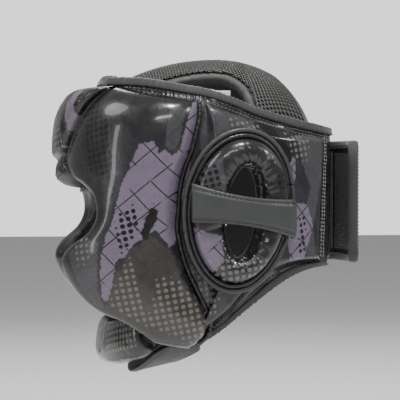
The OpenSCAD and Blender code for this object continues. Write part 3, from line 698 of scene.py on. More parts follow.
def resample(path, step):
    """Points a step apart along a path, and the unit vectors along it."""
    path = np.asarray(path, float)
    arc = arc_along(path)
    at = np.arange(step / 2, arc[-1], step)
    points = np.stack([np.interp(at, arc, path[:, c]) for c in range(3)], -1)
    ahead = np.stack([np.interp(at + 0.3, arc, path[:, c]) for c in range(3)], -1)
    behind = np.stack([np.interp(at - 0.3, arc, path[:, c]) for c in range(3)], -1)
    return points, unit(ahead - behind)


TAPE_SHOWN = 5.2
# Kinds of stitch: how far apart, how long and how thick, the last as a radius
STRAP_STITCH = (3.4, 2.5, 0.42)
EDGE_STITCH = (3.0, 2.3, 0.42)
SEAM_STITCH = (3.2, 2.3, 0.4)
HIDDEN_STITCH = (3.2, 2.3, 0.38)
TAPE_STITCH = (3.0, 2.2, 0.34)


def stitches(paths, pitch, length, radius):
    """A row of short threads along each path, as points and faces."""
    shares = np.array([-0.5, -0.34, 0.0, 0.34, 0.5])
    widths = np.array([0.25, 0.85, 1.0, 0.85, 0.25])
    sides = 6
    turn = turns(sides)
    all_points, all_faces, start = [], [], 0
    for path in paths:
        at, along = resample(path, pitch)
        across = unit(np.cross(along, [0.31, 0.22, 0.92]))
        up = np.cross(across, along)
        ring = np.cos(turn)[:, None, None] * across + np.sin(turn)[:, None, None] * up
        ring = ring.transpose(1, 0, 2)
        body = (
            at[:, None, None]
            + (shares * length)[None, :, None, None] * along[:, None, None]
            + radius * widths[None, :, None, None] * ring[:, None]
        )
        count = len(shares) * sides
        one = quads(len(shares), sides, ring=True).tolist()
        one += [list(range(sides))[::-1], list(range(count - sides, count))]
        for k in range(len(at)):
            all_faces += [[start + k * count + v for v in f] for f in one]
        all_points.append(body.reshape(-1, 3))
        start += len(at) * count
    return np.concatenate(all_points), all_faces


def waves(x, seed, count=5, low=2.0, high=9.0):
    """A smooth, uneven wave between about -1 and 1 along x, which runs from 0 to 1."""
    rng = np.random.default_rng(seed)
    total = np.zeros_like(np.asarray(x, float))
    for _ in range(count):
        total = total + np.sin(2 * np.pi * (rng.uniform(low, high) * x + rng.random()))
    return total / math.sqrt(count)


# ---- Outlines of the cover in the side view, as in the CAD part
CHEEK_FRONT = [
    [-44, -112], [-54, -103], [-69, -93], [-85, -86], [-98, -75], [-108, -60], [-111, -46], [-105, -35],
    [-92, -24], [-86, -10], [-88, 5], [-95, 14], [-103, 20], [-108, 30], [-105, 46], [-100, 62], [-92, 78],
    [-80, 92],
]
CHEEK_REAR = [
    [-18, -116], [-5, -106], [-3, -93], [-7, -82], [-12, -71], [-18, -58], [-23, -45], [-26, -33],
    [-28, -20], [-27, -8], [-26, 6], [-24, 18], [-21, 29], [-17, 39], [-14, 51], [-11, 63], [-10, 73],
    [-10, 79],
]
RIM = [[-77, 98], [-50, 96], [-22, 91], [-2, 87.5], [18, 81], [38, 73], [67, 65], [88, 61], [106, 58]]
HEM = [[102, -52], [86, -53], [70, -57], [53, -66], [30, -83], [8, -101], [-12, -114]]
# Heights up the panel's rear edge and how far back it is there
REAR_EDGE = ([-52.0, 58.0], [102.0, 106.0])
EAR_MIDDLE = np.array([25.0, -8.0])
SEAM_MIDDLE = np.array([22.0, -7.0])
EAR_HOLE_W, EAR_HOLE_H = 29.0, 72.0
BROW_LOW_T = 0.72
PANEL_GAP = 2.4


def crown_of(s, reach):
    return np.sqrt(np.maximum(0, 1 - np.abs(2 * s - 1) ** reach))


def front_share(t):
    return mix(0.45, 0.72, ease((t - BROW_LOW_T + 0.06) / 0.08))


def front_edge_o(t):
    return PAD_O + EDGE_T + (CHEEK_T - EDGE_T) * front_share(t)


def smoothed(values, width):
    """Values along a line, each averaged with its neighbours under a bell of that many samples."""
    reach = int(3 * width)
    bell = np.exp(-0.5 * (np.arange(-reach, reach + 1) / width) ** 2)
    bell /= bell.sum()
    flat = values.reshape(len(values), -1)
    before = 2 * flat[:1] - flat[reach:0:-1]
    after = 2 * flat[-1:] - flat[-2 : -reach - 2 : -1]
    padded = np.concatenate([before, flat, after])
    done = np.stack([np.convolve(padded[:, c], bell, "valid") for c in range(flat.shape[1])], 1)
    return done.reshape(values.shape)


_edge_t = np.linspace(0, 1, 401)
_edge = spline(CHEEK_FRONT, _edge_t)
_edge_angle = smoothed(angle_at(_edge[:, 0], _edge[:, 1], front_edge_o(_edge_t)), 5.0)


def cheek_angle(s, t):
    r = spline(CHEEK_REAR, t)
    return mix(np.interp(t, _edge_t, _edge_angle), angle_at(r[..., 0], r[..., 1], REF_O), s)


def cheek_z(s, t):
    return mix(spline(CHEEK_FRONT, t)[..., 1], spline(CHEEK_REAR, t)[..., 1], s)


def cheek_puff(s, t):
    ahead = mix(front_share(t), 1, crown_of(s, 5))
    return np.where(s < 0.5, ahead, crown_of(s, 5)) * crown_of(t, 9)


def grid(us, vs):
    """Two arrays over rows vs and columns us."""
    return np.meshgrid(us, vs)


# ---- Padding by cloth simulation
SIM_FRAMES = 18
CLOTH_STIFFNESS = 12.0
CLOTH_BENDING = 0.6


def swell(points, faces, loose, pressure, cap, shrink):
    """Runs cloth with pressure over a closed pad and returns its points. loose is 0 where it is sewn
    down and 1 where it is free, and no point moves further than cap, in mm."""
    mesh = bpy.data.meshes.new("swelling")
    mesh.from_pydata((points * MM).tolist(), [], [list(f) for f in faces])
    pad = bpy.data.objects.new("swelling", mesh)
    bpy.context.scene.collection.objects.link(pad)
    pins = pad.vertex_groups.new(name="sewn")
    for i in np.flatnonzero(loose < 1):
        pins.add([int(i)], float(1 - loose[i]), "REPLACE")
    cloth = pad.modifiers.new("cloth", "CLOTH")
    cloth.settings.vertex_group_mass = "sewn"
    cloth.settings.use_pressure = True
    cloth.settings.uniform_pressure_force = pressure
    cloth.settings.effector_weights.gravity = 0.0
    cloth.settings.shrink_min = shrink
    cloth.settings.tension_stiffness = CLOTH_STIFFNESS
    cloth.settings.compression_stiffness = CLOTH_STIFFNESS
    cloth.settings.bending_stiffness = CLOTH_BENDING
    cloth.settings.quality = 5
    cloth.collision_settings.use_collision = False
    scene = bpy.context.scene
    for number in range(1, SIM_FRAMES + 1):
        scene.frame_set(number)
    now = pad.evaluated_get(bpy.context.evaluated_depsgraph_get()).data
    moved = np.array([v.co for v in now.vertices]) / MM - points
    scene.frame_set(1)
    bpy.data.objects.remove(pad)
    bpy.data.meshes.remove(mesh)
    far = np.maximum(np.linalg.norm(moved, axis=1, keepdims=True), 1e-9)
    return points + moved * np.minimum(1, cap * np.tanh(far / cap) / far)


# ---- Temple and cheek pads
def temple_pads():
    rows, cols, wall = 104, 46, 8
    t = np.linspace(0, 1, rows)
    s = 0.5 - 0.5 * np.cos(np.pi * np.linspace(0, 1, cols))
    ss, tt = grid(s, t)
    top = wrap(cheek_angle(ss, tt), cheek_z(ss, tt), PAD_O + EDGE_T + (CHEEK_T - EDGE_T) * cheek_puff(ss, tt))
    # The front face of the pad rolls down to the lining
    w = np.linspace(0, 1, wall, endpoint=False)
    ww, tw = grid(w, t)
    edge_o = PAD_O + EDGE_T + (CHEEK_T - EDGE_T) * front_share(tw) * crown_of(tw, 9)
    roll = 1.9 * np.sin(np.pi * ww**0.8)
    front = wrap(cheek_angle(0 * tw, tw) - roll, cheek_z(0 * tw, tw), mix(PAD_O + 0.2, edge_o, ww))
    outer = np.concatenate([front, top], 1)
    deep = np.concatenate([0 * ww, ss], 1)
    tall = np.concatenate([tw, tt], 1)
    inner = wrap(cheek_angle(deep, tall), cheek_z(deep, tall), PAD_O)
    points, faces = slab(outer, inner)
    n = outer.shape[0] * outer.shape[1]
    edge = np.minimum(np.minimum(deep, 1 - deep) * 9, np.minimum(tall, 1 - tall) * 22)
    loose = np.r_[np.clip(edge, 0, 1).ravel(), np.zeros(n)]
    points = swell(points, faces, loose, pressure=5.0, cap=2.5, shrink=-0.02)
    both("temple_pad", points, faces, PRINT, "leather_print", ["cheek_cover", "cheek_foam"],
         side_print(PAD_O + CHEEK_T), 0.9)


# ---- Forehead pad, with the brow roll below its groove
BROW_DROP = 12.0
GROOVE_T = 0.27
CREASES = ((0.06, 0.5, 3.0), (0.12, 0.7, 7.0), (0.17, 0.55, 1.0), (0.22, 0.35, 5.0))


def brow_edge(t):
    return cheek_angle(np.zeros_like(t), mix(BROW_LOW_T, 1, t)) - 0.9


def brow_z(s, t):
    bow = mix(BROW_DROP, 0, t**0.6) * (1 - s * s)
    return cheek_z(np.zeros_like(t), mix(BROW_LOW_T, 1, t)) - bow


def groove(t):
    return 1 - 0.16 * ridge(t - GROOVE_T, 0.045)


def side_round(s):
    return np.sqrt(np.maximum(0, 1 - np.abs(s) ** 6))


def forehead_pad():
    rows, cols = 90, 92
    t = 0.5 - 0.5 * np.cos(np.pi * np.linspace(0, 1, rows))
    s = -np.cos(np.pi * np.linspace(0, 1, cols))
    ss, tt = grid(s, t)
    puff = mix(front_share(1.0), 1, side_round(ss)) * crown_of(tt, 6) * groove(tt)
    outer = wrap(ss * brow_edge(tt), brow_z(ss, tt), PAD_O + EDGE_T + (FOREHEAD_T - EDGE_T) * puff)
    inner = wrap(ss * brow_edge(tt), brow_z(ss, tt), PAD_O)
    points, faces = slab(outer, inner)
    pinned = np.minimum((1 - np.abs(ss)) * 12, np.minimum(tt, 1 - tt) * 16)
    pinned = np.minimum(pinned, np.abs(tt - GROOVE_T) * 18)
    loose = np.r_[np.clip(pinned, 0, 1).ravel(), np.zeros(rows * cols)]
    points = swell(points, faces, loose, pressure=5.0, cap=2.5, shrink=-0.02)
    # The brow roll is flatter than the pad and lies in level creases
    roll = 1.6 * ease((GROOVE_T - tt) / 0.06)
    for at, depth, phase in CREASES:
        line = at + 0.008 * np.sin(5 * ss + phase)
        roll = roll + depth * ridge(tt - line, 0.016)
    inward = inner - outer
    inward /= np.linalg.norm(inward, axis=-1, keepdims=True) + 1e-9
    points[: rows * cols] += (inward * (roll * (1 - np.abs(ss) ** 8))[..., None]).reshape(-1, 3)
    pad = make(
        "forehead_pad", points, faces, PRINT, "shell", "leather_print",
        ["forehead_cover", "forehead_foam"], brow_print, refine=True,
    )
    pad.data.materials.append(SMOOTH_BLACK)
    low = np.repeat((t[:-1] + t[1:]) / 2 < GROOVE_T, cols - 1)
    pad.data.polygons.foreach_set(
        "material_index", np.r_[low, np.zeros(len(pad.data.polygons) - len(low), bool)].astype(np.int32)
    )


# ---- Linings: the soft bead round the eyes and cheeks, and the cloth against the head
def bead(t):
    return ease((t - 0.10) / 0.1) * ease((BROW_LOW_T - t) / 0.05)


def linings():
    t = np.linspace(0.07, 0.735, 120)
    zero = np.zeros_like(t)
    path = wrap(cheek_angle(zero, t) - 1.6 - 1.1 * bead(t), cheek_z(zero, t), 4.2 + 1.2 * bead(t))
    radius = mix(2.2, 5.2, bead(t)) + 0.25 * waves(t, 5, 6, 8, 26)
    both("eye_bead", *round_tube(smoothed(path, 3.0), radius, 22), SMOOTH_BLACK, "lining")

    rows, cols = 60, 30
    tt = np.linspace(0, 1, rows)
    ss = np.linspace(-0.03, 1, cols)
    sg, tg = grid(ss, tt)
    top = ease((tg - 0.93) / 0.07)
    height = cheek_z(sg, tg) + top * mix(6.0, 9.0, sg)
    puff = 0.8 * np.sin(np.pi * np.clip(sg, 0, 1)) ** 0.5 * np.sin(np.pi * tg) ** 0.5
    angle = cheek_angle(sg, tg)
    both(
        "cheek_lining_cloth", *slab(wrap(angle, height, LINING_T), wrap(angle, height, -puff)),
        LINING, "lining", ["cheek_lining"],
    )
    t, s = np.linspace(0, 1, 34), np.linspace(-1, 1, 60)
    ss, tt = grid(s, t)
    z = mix(brow_z(ss, np.zeros_like(tt)) - 3, 98, tt)
    edge = np.where(tt < 0.85, brow_edge(tt), brow_edge(np.ones_like(tt)) - 1) - 1
    channel = 0.9 * np.abs(np.sin(np.pi * 4 * tt)) ** 0.6
    roll = 3.2 * ease((0.1 - tt) / 0.1)
    make(
        "forehead_lining_cloth",
        *slab(wrap(ss * edge, z, LINING_T + roll), wrap(ss * edge, z, -channel)),
        LINING, "shell", "lining", ["forehead_lining"],
    )


# ---- Corded piping along the pad seams
def piping():
    t = np.linspace(BROW_LOW_T + 0.01, 0.985, 150)
    zero = np.zeros_like(t)
    out = PAD_O + EDGE_T + (CHEEK_T - EDGE_T) * front_share(t) * crown_of(t, 9)
    path = wrap(cheek_angle(zero, t) - 0.5, cheek_z(zero, t), out + 1.6)
    both("forehead_cord", *round_tube(path, 1.5, 12, ripple=0.12, seed=3), CORD, "tape", ["forehead_piping"])
    t = np.linspace(0.03, 0.995, 260)
    one = np.ones_like(t)
    path = wrap(cheek_angle(one, t) + 0.6, cheek_z(one, t), PAD_O + EDGE_T + PIPING_R + GAP + 0.3)
    radius = PIPING_R + 0.12 * waves(t, 8, 8, 20, 60)
    both("cheek_cord", *round_tube(path, radius, 12, ripple=0.22, seed=4), CORD, "tape", ["cheek_piping"])


# ---- Side panels
def panel_outline(n):
    """Closed outline, clockwise seen from the wearer's left, and how much of it each stretch has."""
    u = np.linspace(0, 1, n, endpoint=False)
    seam = spline(CHEEK_REAR, u) + [PANEL_GAP, 0]
    top = spline([[-8, 88]] + RIM[3:], u)
    back = mix(np.array(RIM[-1], float), np.array(HEM[0], float), u[:, None])
    back = back + np.stack([1.5 * np.sin(np.pi * u), 0 * u], -1)
    return np.concatenate([seam, top, back, spline(HEM, u)])


def hole_at(a, grow=0.0):
    w, h = EAR_HOLE_W / 2 + grow, EAR_HOLE_H / 2 + grow
    return EAR_MIDDLE + np.stack([w * np.cos(a) + 3 * np.sin(a), h * np.sin(a)], -1)


def hem_at(u):
    """Places along the hem, and the unit vectors from them into the panel."""
    hem = spline(HEM, u)
    return hem, unit(EAR_MIDDLE - hem)


class Face:
    """Height of a piece's face over the side view, from its own grid, for what lies on it."""

    def __init__(self, place, offset):
        self.place, self.offset = place.reshape(-1, 2), np.asarray(offset).ravel()

    def at(self, path):
        away = np.linalg.norm(path[:, None] - self.place[None], axis=2)
        near = np.argsort(away, axis=1)[:, :4]
        weight = 1 / (np.take_along_axis(away, near, 1) + 0.05)
        return (self.offset[near] * weight).sum(1) / weight.sum(1)


def side_panels():
    outline = panel_outline(52)
    turn = np.arctan2(outline[:, 1] - EAR_MIDDLE[1], outline[:, 0] - EAR_MIDDLE[0])
    hole = hole_at(turn)
    share = np.linspace(0, 1, 44)[:, None]
    place = mix(hole[None], outline[None], share[..., None])
    to_edge = np.linalg.norm(outline - hole, axis=1)[None] * (1 - share)
    # A little fuller than a flat board, with pulls along the stitched edge
    rim_turn = np.linspace(0, 1, len(outline))
    pull = 0.22 * waves(rim_turn, 11, 7, 18, 46)[None] * ridge(to_edge - BINDING_H, 9)
    puff = ease((to_edge - BINDING_H - 1) / 13)
    offset = PAD_O + EDGE_T + (PANEL_T - EDGE_T) * puff + pull
    outer = side(place, offset)
    inner = side(place, PAD_O + 0 * offset)
    face = Face(place, offset)
    both("side_panel_cover", *slab(outer, inner, ring=True), PRINT, "leather_print", ["side_panel"],
         side_print(EAR_O), 0.7)
    thin = side(place, LINING_T + 0 * offset)
    deep = side(place, -0.7 * np.sin(np.pi * share) ** 0.6 + 0 * offset)
    both("side_lining_cloth", *slab(thin, deep, ring=True), LINING, "lining", ["side_lining"])
    # Two close rows of light stitching down the rear edge, one dark row along the hem and two gray rows under
    # the rim
    z = np.linspace(52, -46, 130)
    rear = [np.stack([np.interp(z, *REAR_EDGE) - ahead, z], -1) for ahead in (5.5, 8.5)]
    threads = stitches([side(p, face.at(p) + 0.3) for p in rear], *EDGE_STITCH)
    both("rear_stitching", *threads, THREAD_LIGHT, "tape")
    hem, inward = hem_at(np.linspace(0.02, 0.9, 200))
    row = hem + inward * (TAPE_SHOWN + 2.2)
    threads = stitches([side(row, face.at(row) + 0.25)], *HIDDEN_STITCH)
    both("hem_inner_stitching", *threads, THREAD_DARK, "tape")
    rim = spline(RIM, np.linspace(0.36, 0.99, 200))
    rows = [rim - [0, TAPE_SHOWN + drop] for drop in (1.8, 4.6)]
    threads = stitches([side(p, face.at(p) + 0.3) for p in rows], *SEAM_STITCH)
    both("rim_stitching", *threads, THREAD_GRAY, "tape")


# ---- Ear rings
RING_STEPS = 264


def seam_at(a, grow=0.0):
    x = (38 + grow) * np.cos(a) * (1 + 0.06 * np.sin(a)) + 3 * np.sin(a)
    return SEAM_MIDDLE + np.stack([x, (56 + grow) * np.sin(a) + 2 * np.cos(a)], -1)


def ear_rings():
    a = -np.linspace(0, 2 * np.pi, RING_STEPS, endpoint=False)
    turn = np.radians(np.linspace(216, 0, 40))
    aa, th = grid(a, turn)
    k = 0.5 + 0.5 * np.cos(th)
    lean = np.sin(th)
    height = EAR_RISE * np.sign(lean) * np.abs(lean) ** 0.78 * (0.94 + 0.06 * np.cos(th))
    # The leather is gathered round the hole: deep folds there that fade towards the seam
    fold = np.zeros_like(aa)
    for count, lean_by, weight in ((18, 0.9, 1.0), (28, -0.6, 0.75), (40, 0.4, 0.5)):
        drift = lean_by * k + 0.9 * np.sin(2 * aa + count) + 0.6 * np.sin(5 * aa + 2 * count)
        deep = weight * (0.75 + 0.55 * np.sin(3 * aa + 1.7 * count))
        fold += deep * (1 - np.abs(np.sin(count / 2 * aa + drift)) ** 0.5 * 1.55)
    near_hole = ridge(k, 0.46)
    near_seam = ridge(1 - k, 0.12)
    strength = 0.45 + 0.85 * np.abs(np.sin(aa)) ** 2
    height = height - (1.7 * near_hole + 0.25 * near_seam) * fold * np.clip(lean + 0.3, 0, 1) * strength
    grow = 0.5 - 0.8 * near_hole * fold * (0.4 + 0.6 * np.clip(-lean + 0.7, 0, 1)) * strength
    place = mix(hole_at(aa, grow), seam_at(aa, 0.6), k[..., None])
    outer = side(place, EAR_O + GAP + height, EAR_REF_O)
    inner = side(mix(hole_at(aa, 2.5), seam_at(aa, -1.5), k[..., None]), EAR_O - 1.5 + 0 * k, EAR_REF_O)
    both(
        "ear_ring", *slab(outer, inner, ring=True), PRINT, "leather_print",
        ["ear_ring_cover", "ear_ring_foam"], ring_print, 0.95,
    )
    round_seam = np.linspace(0, 1, RING_STEPS, endpoint=False)
    cords = (("ear_cord_inner", 2.8, CORD, ["ear_piping"]), ("ear_cord_outer", 7.2, MATTE, []))
    for number, (name, grow_by, material, nodes) in enumerate(cords):
        path = side(seam_at(a, grow_by), EAR_O + PIPING_R + GAP - 0.2 - 0.4 * number, EAR_REF_O)
        radius = PIPING_R + 0.07 * waves(round_seam, 21 + number, 8, 20, 50)
        cord = round_tube(path, radius, 12, closed=True, ripple=0.1, seed=6 + number)
        both(name, *cord, material, "tape", nodes)


# ---- Straps across the ears
STRAP_FRONT, STRAP_BACK = -17.0, 64.0
STRAP_W, STRAP_T = 31.0, 3.0
STRAP_SLOPE, STRAP_BOW, STRAP_Z = 13.0, 8.0, -7.0


def strap_place(s, v):
    """s runs along the strap from the front, v across it from its lower edge, both 0 to 1."""
    y = mix(STRAP_FRONT, STRAP_BACK, s)
    z = STRAP_Z - STRAP_SLOPE * (s - 0.5) + (v - 0.5) * (STRAP_W - STRAP_BOW * np.sin(np.pi * s))
    return np.stack([y, z], -1)


def strap_lift(s):
    low = 2 * PIPING_R + 0.6
    return EAR_O + low + (EAR_RISE + 2.5 - low) * np.clip(np.sin(np.pi * s), 0, 1) ** 0.2


def ear_straps():
    ss, vv = grid(np.linspace(0, 1, 90), np.linspace(0, 1, 26))
    edge = np.minimum(vv, 1 - vv)
    lift = strap_lift(ss)
    pillow = 0.9 * ease((edge - 0.09) / 0.12) - 0.45 * ridge(edge - 0.095, 0.03)
    crease = 0.45 * ridge(ss - 0.1, 0.02) + 0.35 * ridge(ss - 0.9, 0.02)
    pull = 0.18 * waves(ss, 31, 7, 10, 30) * (1 - 4 * edge * (1 - edge))
    round_off = -1.2 * ridge(edge, 0.03)
    outer = side(strap_place(ss, vv), lift + STRAP_T - 0.6 + pillow - crease + pull + round_off, EAR_REF_O)
    inner = side(strap_place(ss, vv), lift + 0 * vv, EAR_REF_O)
    both("ear_strap_cover", *slab(outer, inner), MATTE, "leather_matte", ["ear_strap"])
    s = np.linspace(0.02, 0.98, 90)
    rows = [side(strap_place(s, v), strap_lift(s) + STRAP_T - 0.35, EAR_REF_O) for v in (0.095, 0.905)]
    both("ear_strap_stitching", *stitches(rows, *STRAP_STITCH), THREAD_DARK, "tape")


# ---- Folded bindings
def binding(outline, inward, thick, leg, seed=0):
    """Tape folded over an edge: closed loops across it, along outline. thick is the edge's outer offset."""
    t = BINDING_T
    half = thick / 2 + GAP + t
    middle = thick / 2
    fold = np.radians(np.linspace(90, -90, 13))
    across = [(leg, half - 1.0), (leg - 0.5, half - 0.1)]
    across += [(leg * 0.72, half + 0.25), (leg * 0.35, half + 0.15)]
    round_edge = half * np.sign(np.sin(fold)) * np.abs(np.sin(fold)) ** 0.7
    across += list(zip(-(t + 0.2) * np.cos(fold) ** 0.8, round_edge))
    across += [(leg * 0.35, -half), (leg - 0.5, -half), (leg, -half + 1.0)]
    across += [(leg - 0.3, -half + t), (0.5, -half + t), (0.5, half - t), (leg - 0.3, half - t)]
    along = np.linspace(0, 1, len(outline))
    crinkle = 0.22 * waves(along, 40 + seed, 8, 16, 60)
    rings = []
    for k, o in across:
        wave = crinkle * (0.4 + 0.6 * (k < 1)) * (1 if o > 0 else 0.3)
        p = outline + inward * (k - wave * (k < 0))[:, None]
        rings.append(side(p, middle + o + wave))
    return tube(np.stack(rings, 1)[:, ::-1])


# The cover over the temple pad runs from the front of the rim to the side panel
STRIP_FRONT, STRIP_BACK = -76, -8


def stitch_path(outline, inward, k, o):
    return side(outline + inward * k, o + 0 * outline[:, 0])


def rim_bindings():
    u = np.linspace(0, 1, 260)
    rim = spline(RIM, u)
    down = np.broadcast_to(np.array([0.0, -1.0]), rim.shape)
    thick = PAD_O + EDGE_T
    both("rim_tape", *binding(rim, down, thick, TAPE_SHOWN), TAPE, "tape", ["top_binding"])
    over = thick + BINDING_T + GAP
    edge_row = [stitch_path(rim, down, TAPE_SHOWN - 1.0, over + 0.3)]
    both("rim_tape_stitching", *stitches(edge_row, *TAPE_STITCH), THREAD_DARK, "tape")
    over_pad = (rim[:, 0] > STRIP_FRONT + 6) & (rim[:, 0] < STRIP_BACK)
    rows = [
        stitch_path(rim[over_pad], down[over_pad], TAPE_SHOWN + drop, thick + lift)
        for drop, lift in ((1.8, 0.35), (4.6, 0.75))
    ]
    both("temple_stitching", *stitches(rows, *SEAM_STITCH), THREAD_GRAY, "tape")

    hem, inward = hem_at(np.linspace(0, 0.93, 200))
    both("hem_tape", *binding(hem, inward, thick, TAPE_SHOWN, seed=1), TAPE, "tape", ["bottom_binding"])
    rows = [stitch_path(hem, inward, TAPE_SHOWN - 1.0, over + 0.3)]
    both("hem_stitching", *stitches(rows, *TAPE_STITCH), THREAD_DARK, "tape")


def temple_strips():
    """The strip of cover between the temple pad's top seam and the rim tape."""
    y = np.linspace(STRIP_FRONT, STRIP_BACK, 90)
    up = spline(RIM, np.linspace(0, 1, 400))
    rim_z = np.interp(y, up[:, 0], up[:, 1])
    share = np.linspace(0, 1, 8)
    yy, ww = grid(y, share)
    zz = np.broadcast_to(rim_z, yy.shape) - mix(17.0, 1.5, ww)
    ahead = (yy - STRIP_FRONT) / (STRIP_BACK - STRIP_FRONT)
    sag = 0.5 * np.sin(np.pi * ww) + 0.2 * waves(ahead, 52, 6, 8, 24)
    place = np.stack([yy, zz], -1)
    strip = slab(side(place, PAD_O + EDGE_T - 0.4 + sag), side(place, PAD_O + 0 * yy))
    both("temple_strip", *strip, PRINT, "leather_print", printed=side_print(PAD_O + EDGE_T))


FRONT_TAPE_Z = 96.5


def front_tape():
    half = float(angle_at(RIM[0][0], RIM[0][1], REF_O)) - 1
    s = np.linspace(1, -1, 150)
    a = half * s
    t, face = BINDING_T, LINING_T + 2
    profile = [(face + t, -5.5), (face + t + 0.5, -3), (face + t + 0.2, 0.2), (face - 1 + t, 1.6 + t),
               (LINING_T / 2, 2.4 + t), (0.5 - t, 1.6 + t), (-GAP - t, 0), (-GAP - t, -5.5), (0, -5.5),
               (0, 0), (face, 0), (face, -5.5)]
    bow = FRONT_TAPE_Z + 1.5 * (1 - s**2) + 0.25 * waves((s + 1) / 2, 61, 6, 6, 24)
    rings = np.stack([wrap(a, bow + up, o) for o, up in profile], 1)
    make("front_tape", *tube(rings[:, ::-1]), TAPE, "shell", "tape", ["front_binding"])


# ---- Crown
CROWN_A = HALF_W + 3
CROWN_FRONT_B, CROWN_BACK_B = FRONT + 36, BACK - 8
CROWN_H, CROWN_BASE = 90.0, 26.0
CROWN_TOP_Y = MID_Y + 10
CROWN_T = 10.0
MESH_PITCH = 2.7
CROWN_ROWS = [
    [-74, 33, 5], [-48, 39, 1], [-20, 40, 0], [8, 41, 1], [22, 47, 4], [31, 60, 7], [36, 90, 9],
    [46, 90, 14], [54, 90, 20], [62, 90, 26],
]


def rim_inside_x(y):
    rim = np.asarray(RIM, float)
    z = np.interp(y, rim[:, 0], rim[:, 1]) - 4
    o = -GAP - BINDING_T
    return side(np.stack([np.broadcast_to(y, z.shape), z], -1), o - 0.6, o)[..., 0]


def crown_at(s, v, deep):
    """s from -1 on the wearer's right to 1 on the left, v from 0 at the front to 1 at the back."""
    r = spline(CROWN_ROWS, v)
    y = r[..., 0] + r[..., 2] * s * s
    x = s * np.minimum(r[..., 1], rim_inside_x(r[..., 0] + r[..., 2]))
    b = np.where(y < CROWN_TOP_Y, CROWN_FRONT_B, CROWN_BACK_B)
    x = x * (CROWN_A - deep) / CROWN_A
    y = CROWN_TOP_Y + (y - CROWN_TOP_Y) * (b - deep) / b
    high = np.maximum(0.02, 1 - (x / (CROWN_A - deep)) ** 2 - ((y - CROWN_TOP_Y) / (b - deep)) ** 2)
    return np.stack([x, y, CROWN_BASE + (CROWN_H - deep) * np.sqrt(high)], -1)


def crown_pad():
    """The stuffed pad under the mesh, with three sewn channels."""
    ss, vv = grid(np.linspace(-1, 1, 90), np.linspace(0, 1, 80))
    channels = 0.8 * ridge(np.abs(ss) - 0.45, 0.03) + 0.8 * ridge(ss, 0.03)
    upper = crown_at(ss, vv, 1.5 + 0 * ss)
    lower = crown_at(ss, vv, CROWN_T + 0.8 - 1.6 * channels)
    pad = make("crown_pad", *slab(lower, upper), LINING, "shell", "lining", ["crown_lining"])


def honeycomb(arc, halves):
    """Middles of the mesh's holes on the flat cloth, whose half width is halves at each length in arc."""
    cells = []
    corner_r = MESH_PITCH / math.sqrt(3)
    rows = np.arange(corner_r, arc[-1] - corner_r, MESH_PITCH * math.sqrt(3) / 2)
    for number, q in enumerate(rows):
        x = (np.arange(-60, 61) + 0.5 * (number % 2)) * MESH_PITCH
        cells += [[at, q] for at in x[np.abs(x) < np.interp(q, arc, halves) - 0.4 * MESH_PITCH]]
    return np.array(cells)


def crown_mesh():
    """Spacer mesh: strands round open holes, laid out in flat cloth and wrapped on the dome."""
    v_line, s_line = np.linspace(0, 1, 200), np.linspace(0, 1, 24)
    arc = arc_along(crown_at(0 * v_line, v_line, 0 * v_line))
    halves = np.array([arc_along(crown_at(s_line, np.full(24, v0), 0 * s_line))[-1] for v0 in v_line])
    cells = honeycomb(arc, halves)
    corner_turn = np.radians(30 + 60 * np.arange(6))
    ways = MESH_PITCH / math.sqrt(3) * np.stack([np.cos(corner_turn), np.sin(corner_turn)], -1)
    flat = np.stack([cells[:, None] + share * ways[None] for share in (1.0, 0.66, 0.56)], 1)
    depth = np.broadcast_to(np.array([-0.35, -0.1, 1.3])[None, :, None], flat.shape[:3])
    keys = np.round(np.concatenate([flat, depth[..., None]], -1).reshape(-1, 3) * 50).astype(int)
    _, first, same = np.unique(keys, axis=0, return_index=True, return_inverse=True)
    spot = flat.reshape(-1, 2)[first]
    v = np.interp(spot[:, 1], arc, v_line)
    s = np.clip(spot[:, 0] / np.interp(spot[:, 1], arc, halves), -1, 1)
    points = crown_at(s, v, depth.reshape(-1)[first])
    number = same.reshape(len(cells), 3, 6)
    after = np.roll(number, -1, 2)
    faces = []
    for k in (0, 1):
        wall = np.stack([number[:, k], after[:, k], after[:, k + 1], number[:, k + 1]], -1)
        faces += wall.reshape(-1, 4).tolist()
    faces += number[:, 2].tolist()
    # The walls are strands, the floors of the holes are the dark cloth below, made near black with painted
    # shade of the deep holes
    shade = [0] * (12 * len(cells)) + [1] * len(cells)
    cloth = make("crown_spacer_mesh", points, faces, MESH, "shell", "mesh", ["crown_mesh"], smooth=False)
    cloth.data.materials.append(HOLE_CLOTH_AND_SHADE)
    cloth.data.polygons.foreach_set("material_index", shade)


def crown_edge(s_line, v_line, out_by):
    """Path along an edge of the crown pad, moved outward."""
    edge = crown_at(s_line, v_line, np.full_like(v_line, CROWN_T / 2))
    along, _, _ = frames_along(edge)
    return edge + unit(np.cross(along, [0, 0, 1.0])) * out_by


def crown_tapes():
    v = np.linspace(0.0, 0.66, 150)
    radius = 3.6 + 0.15 * waves(v, 71, 7, 10, 40)
    tape = round_tube(crown_edge(np.ones_like(v), v, 2.2), radius, 16, ripple=0.12, seed=9)
    both("crown_side_tape", *tape, ARCH_TAPE, "tape", ["crown_binding"])
    s = np.linspace(0.97, -0.97, 120)
    tape = round_tube(crown_edge(s, np.ones_like(s), 2.0), 3.8, 16, ripple=0.12, seed=9)
    make("crown_rear_tape", *tape, ARCH_TAPE, "shell", "tape", ["crown_back_binding"])


